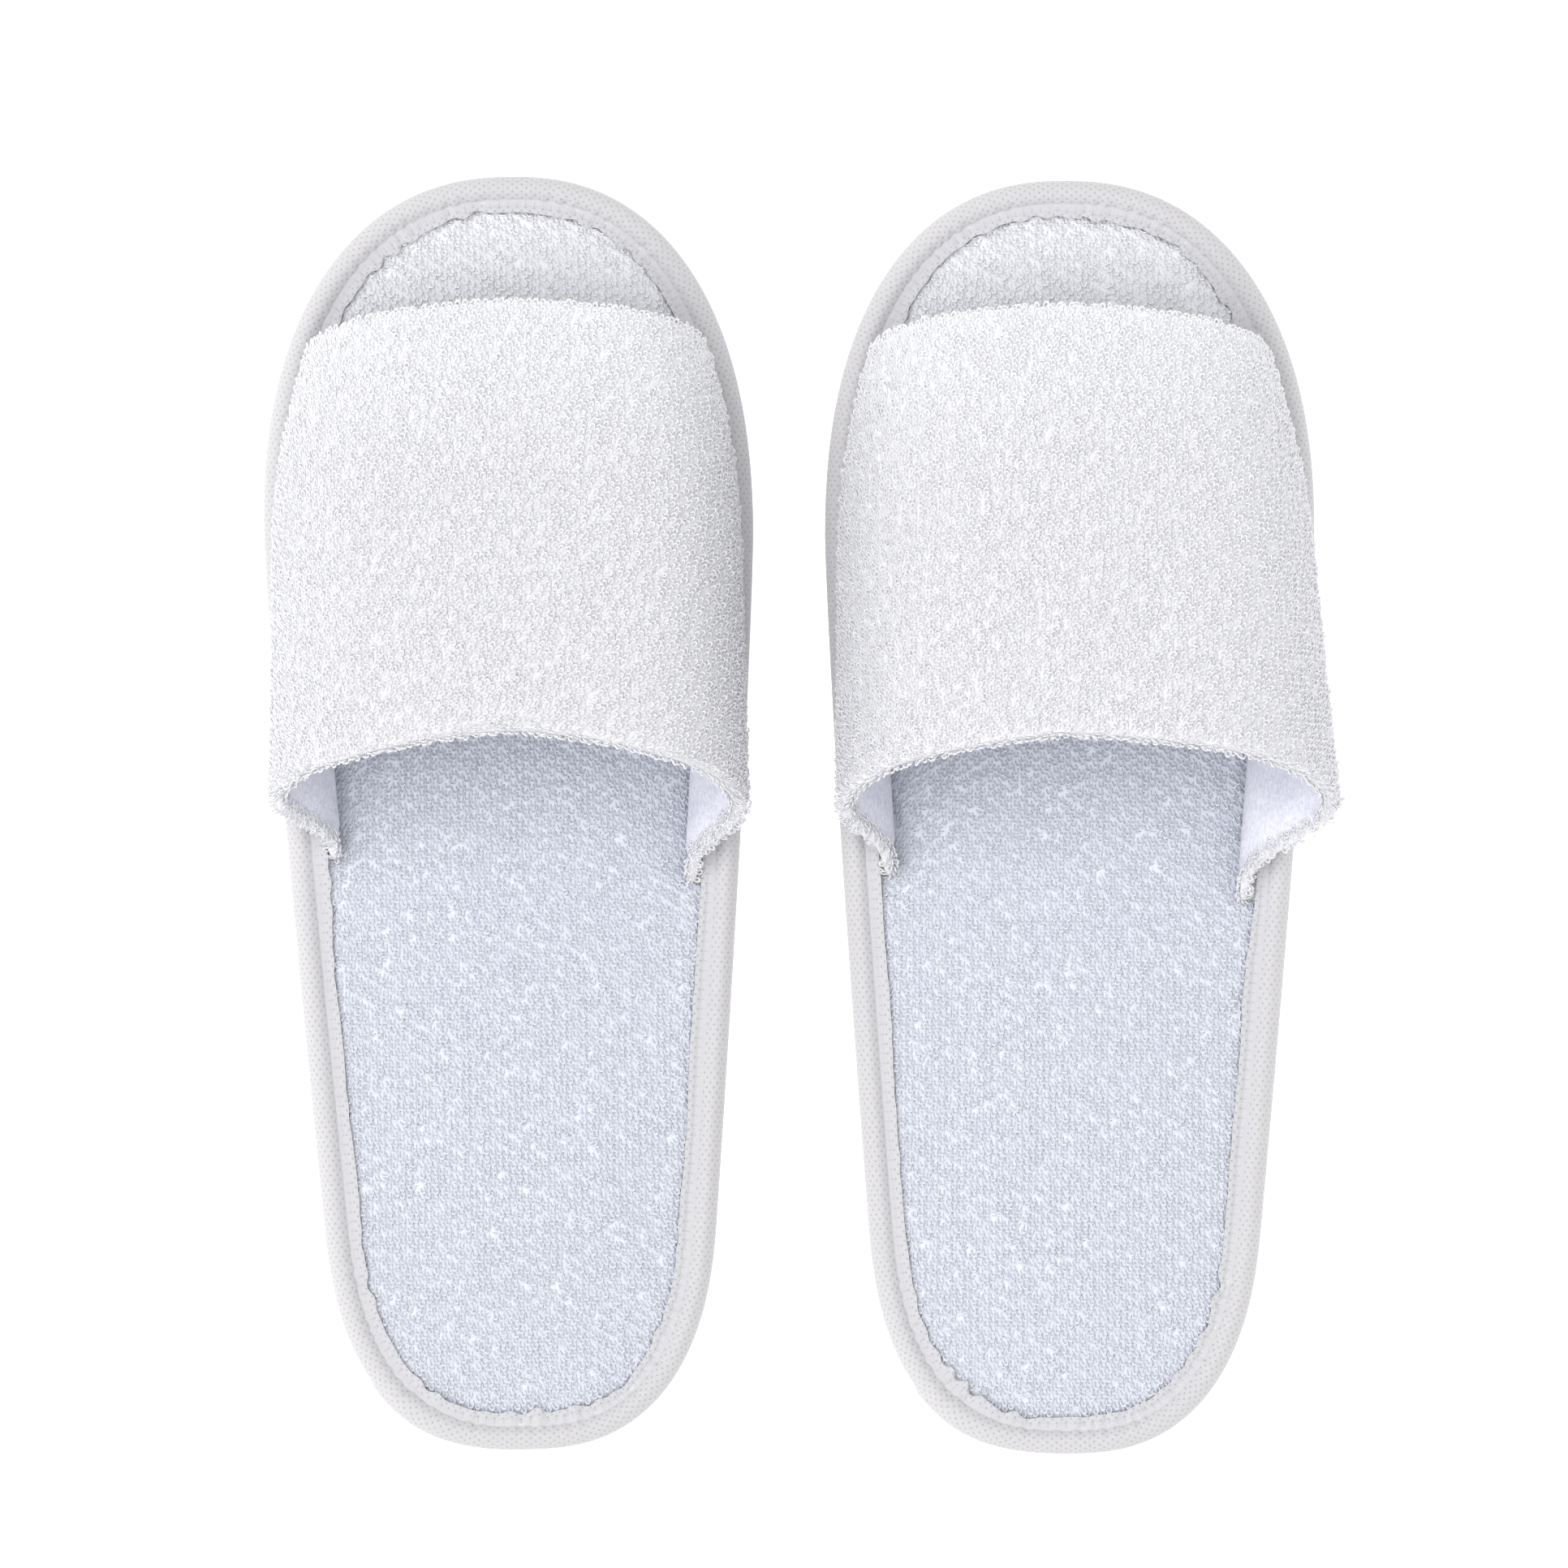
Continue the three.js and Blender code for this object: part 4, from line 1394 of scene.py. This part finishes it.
for slipper in SLIPPERS:
    name = slipper.name
    set_in_place(tread_sole(slipper), slipper, sole_foam, "outsole", "outsole")
    set_in_place(insole_board(slipper), slipper, board, "insole_board", "insole_board")
    core = foam_pad(slipper)
    set_in_place(core, slipper, foam, "foam", "insole_pad")
    cover = insole_cover(slipper)
    for loops in insole_loops(slipper, cover):
        set_in_place(loops, slipper, insole_yarn, "insole_terry")
    set_in_place(cover, slipper, insole_ground, "insole_terry", "insole_cover")
    tape = binding_tape(slipper)
    set_in_place(tape, slipper, tape_cloth, "binding_tape", "edge_binding")
    tape_cut = (TapeSection().width * MM, slipper.outline.length * MM)
    for place, height, upside_down in (("top", VALLEY_HEIGHT, False), ("under", 0.55, True)):
        seam = edge_stitches(f"{name}_{place}_stitches", slipper, height, upside_down)
        set_in_place(seam, slipper, thread, "thread", "seam_thread_" + place)
    skin = upper_skin(slipper)
    for loops in upper_loops(slipper, skin):
        set_in_place(loops, slipper, upper_yarn, "upper_terry")
    terry = upper_cover(slipper, skin)
    set_in_place(terry, slipper, upper_ground, "upper_terry", "upper_cover")
    wadding = upper_wadding(slipper, skin)
    set_in_place(wadding, slipper, foam, "foam", "upper_foam")
    lining = upper_lining(slipper, skin)
    set_in_place(lining, slipper, lining_cloth, "lining", "upper_lining")
    lining_cut(skin)
    front_row, throat_row = hem_rows(skin)
    for place, row in (("front", front_row + 0.3), ("throat", throat_row - 0.3)):
        hem = hem_stitches(f"{name}_{place}_hem_stitches", skin, row)
        set_in_place(hem, slipper, thread, "thread", place + "_hem_thread")


# ---- Studio -----------------------------------------------------------------------------------------

def studio():
    bpy.ops.object.select_all(action="DESELECT")
    bpy.ops.mesh.primitive_plane_add(size=8, location=(0, 0, -0.0003))
    floor = bpy.context.object
    floor.name = "floor"
    paper = Recipe("lit floor paper", Roughness=0.9, Specular_IOR_Level=0.1, Emission_Strength=0.6)
    grain = paper.noise(paper.where(), 0.02, 2.0)
    tone = paper.blend(shade(250, 250, 250), shade(255, 255, 255), grain)
    floor.data.materials.append(paper.finish(Base_Color=tone, Emission_Color=tone))

    world = bpy.context.scene.world or bpy.data.worlds.new("studio")
    bpy.context.scene.world = world
    world.use_nodes = True
    background = world.node_tree.nodes["Background"]
    background.inputs["Color"].default_value = (1.0, 1.0, 1.0, 1.0)
    background.inputs["Strength"].default_value = 0.5
    soft_sun("key_light", (-0.28, -0.04, 1.0), 2.0, 70)
    soft_sun("left_light", (-0.9, 0.0, 0.45), 0.5, 60)
    soft_sun("right_light", (0.9, -0.1, 0.4), 0.4, 60)

    distance = 6.0
    bpy.ops.object.camera_add(location=(-0.0045, 0.007, distance + 0.01), rotation=(0, 0, 0))
    camera = bpy.context.object
    camera.data.sensor_width = 36
    camera.data.lens = camera.data.sensor_width * distance / 0.352
    bpy.context.scene.camera = camera
    bpy.context.scene.view_settings.view_transform = "Standard"


def soft_sun(name, towards, strength, spread):
    bpy.ops.object.light_add(type="SUN", location=Vector(towards) * 2)
    sun = bpy.context.object
    sun.name = name
    sun.data.energy = strength
    sun.data.angle = math.radians(spread)
    sun.rotation_euler = Vector(towards).to_track_quat("Z", "Y").to_euler()


studio()
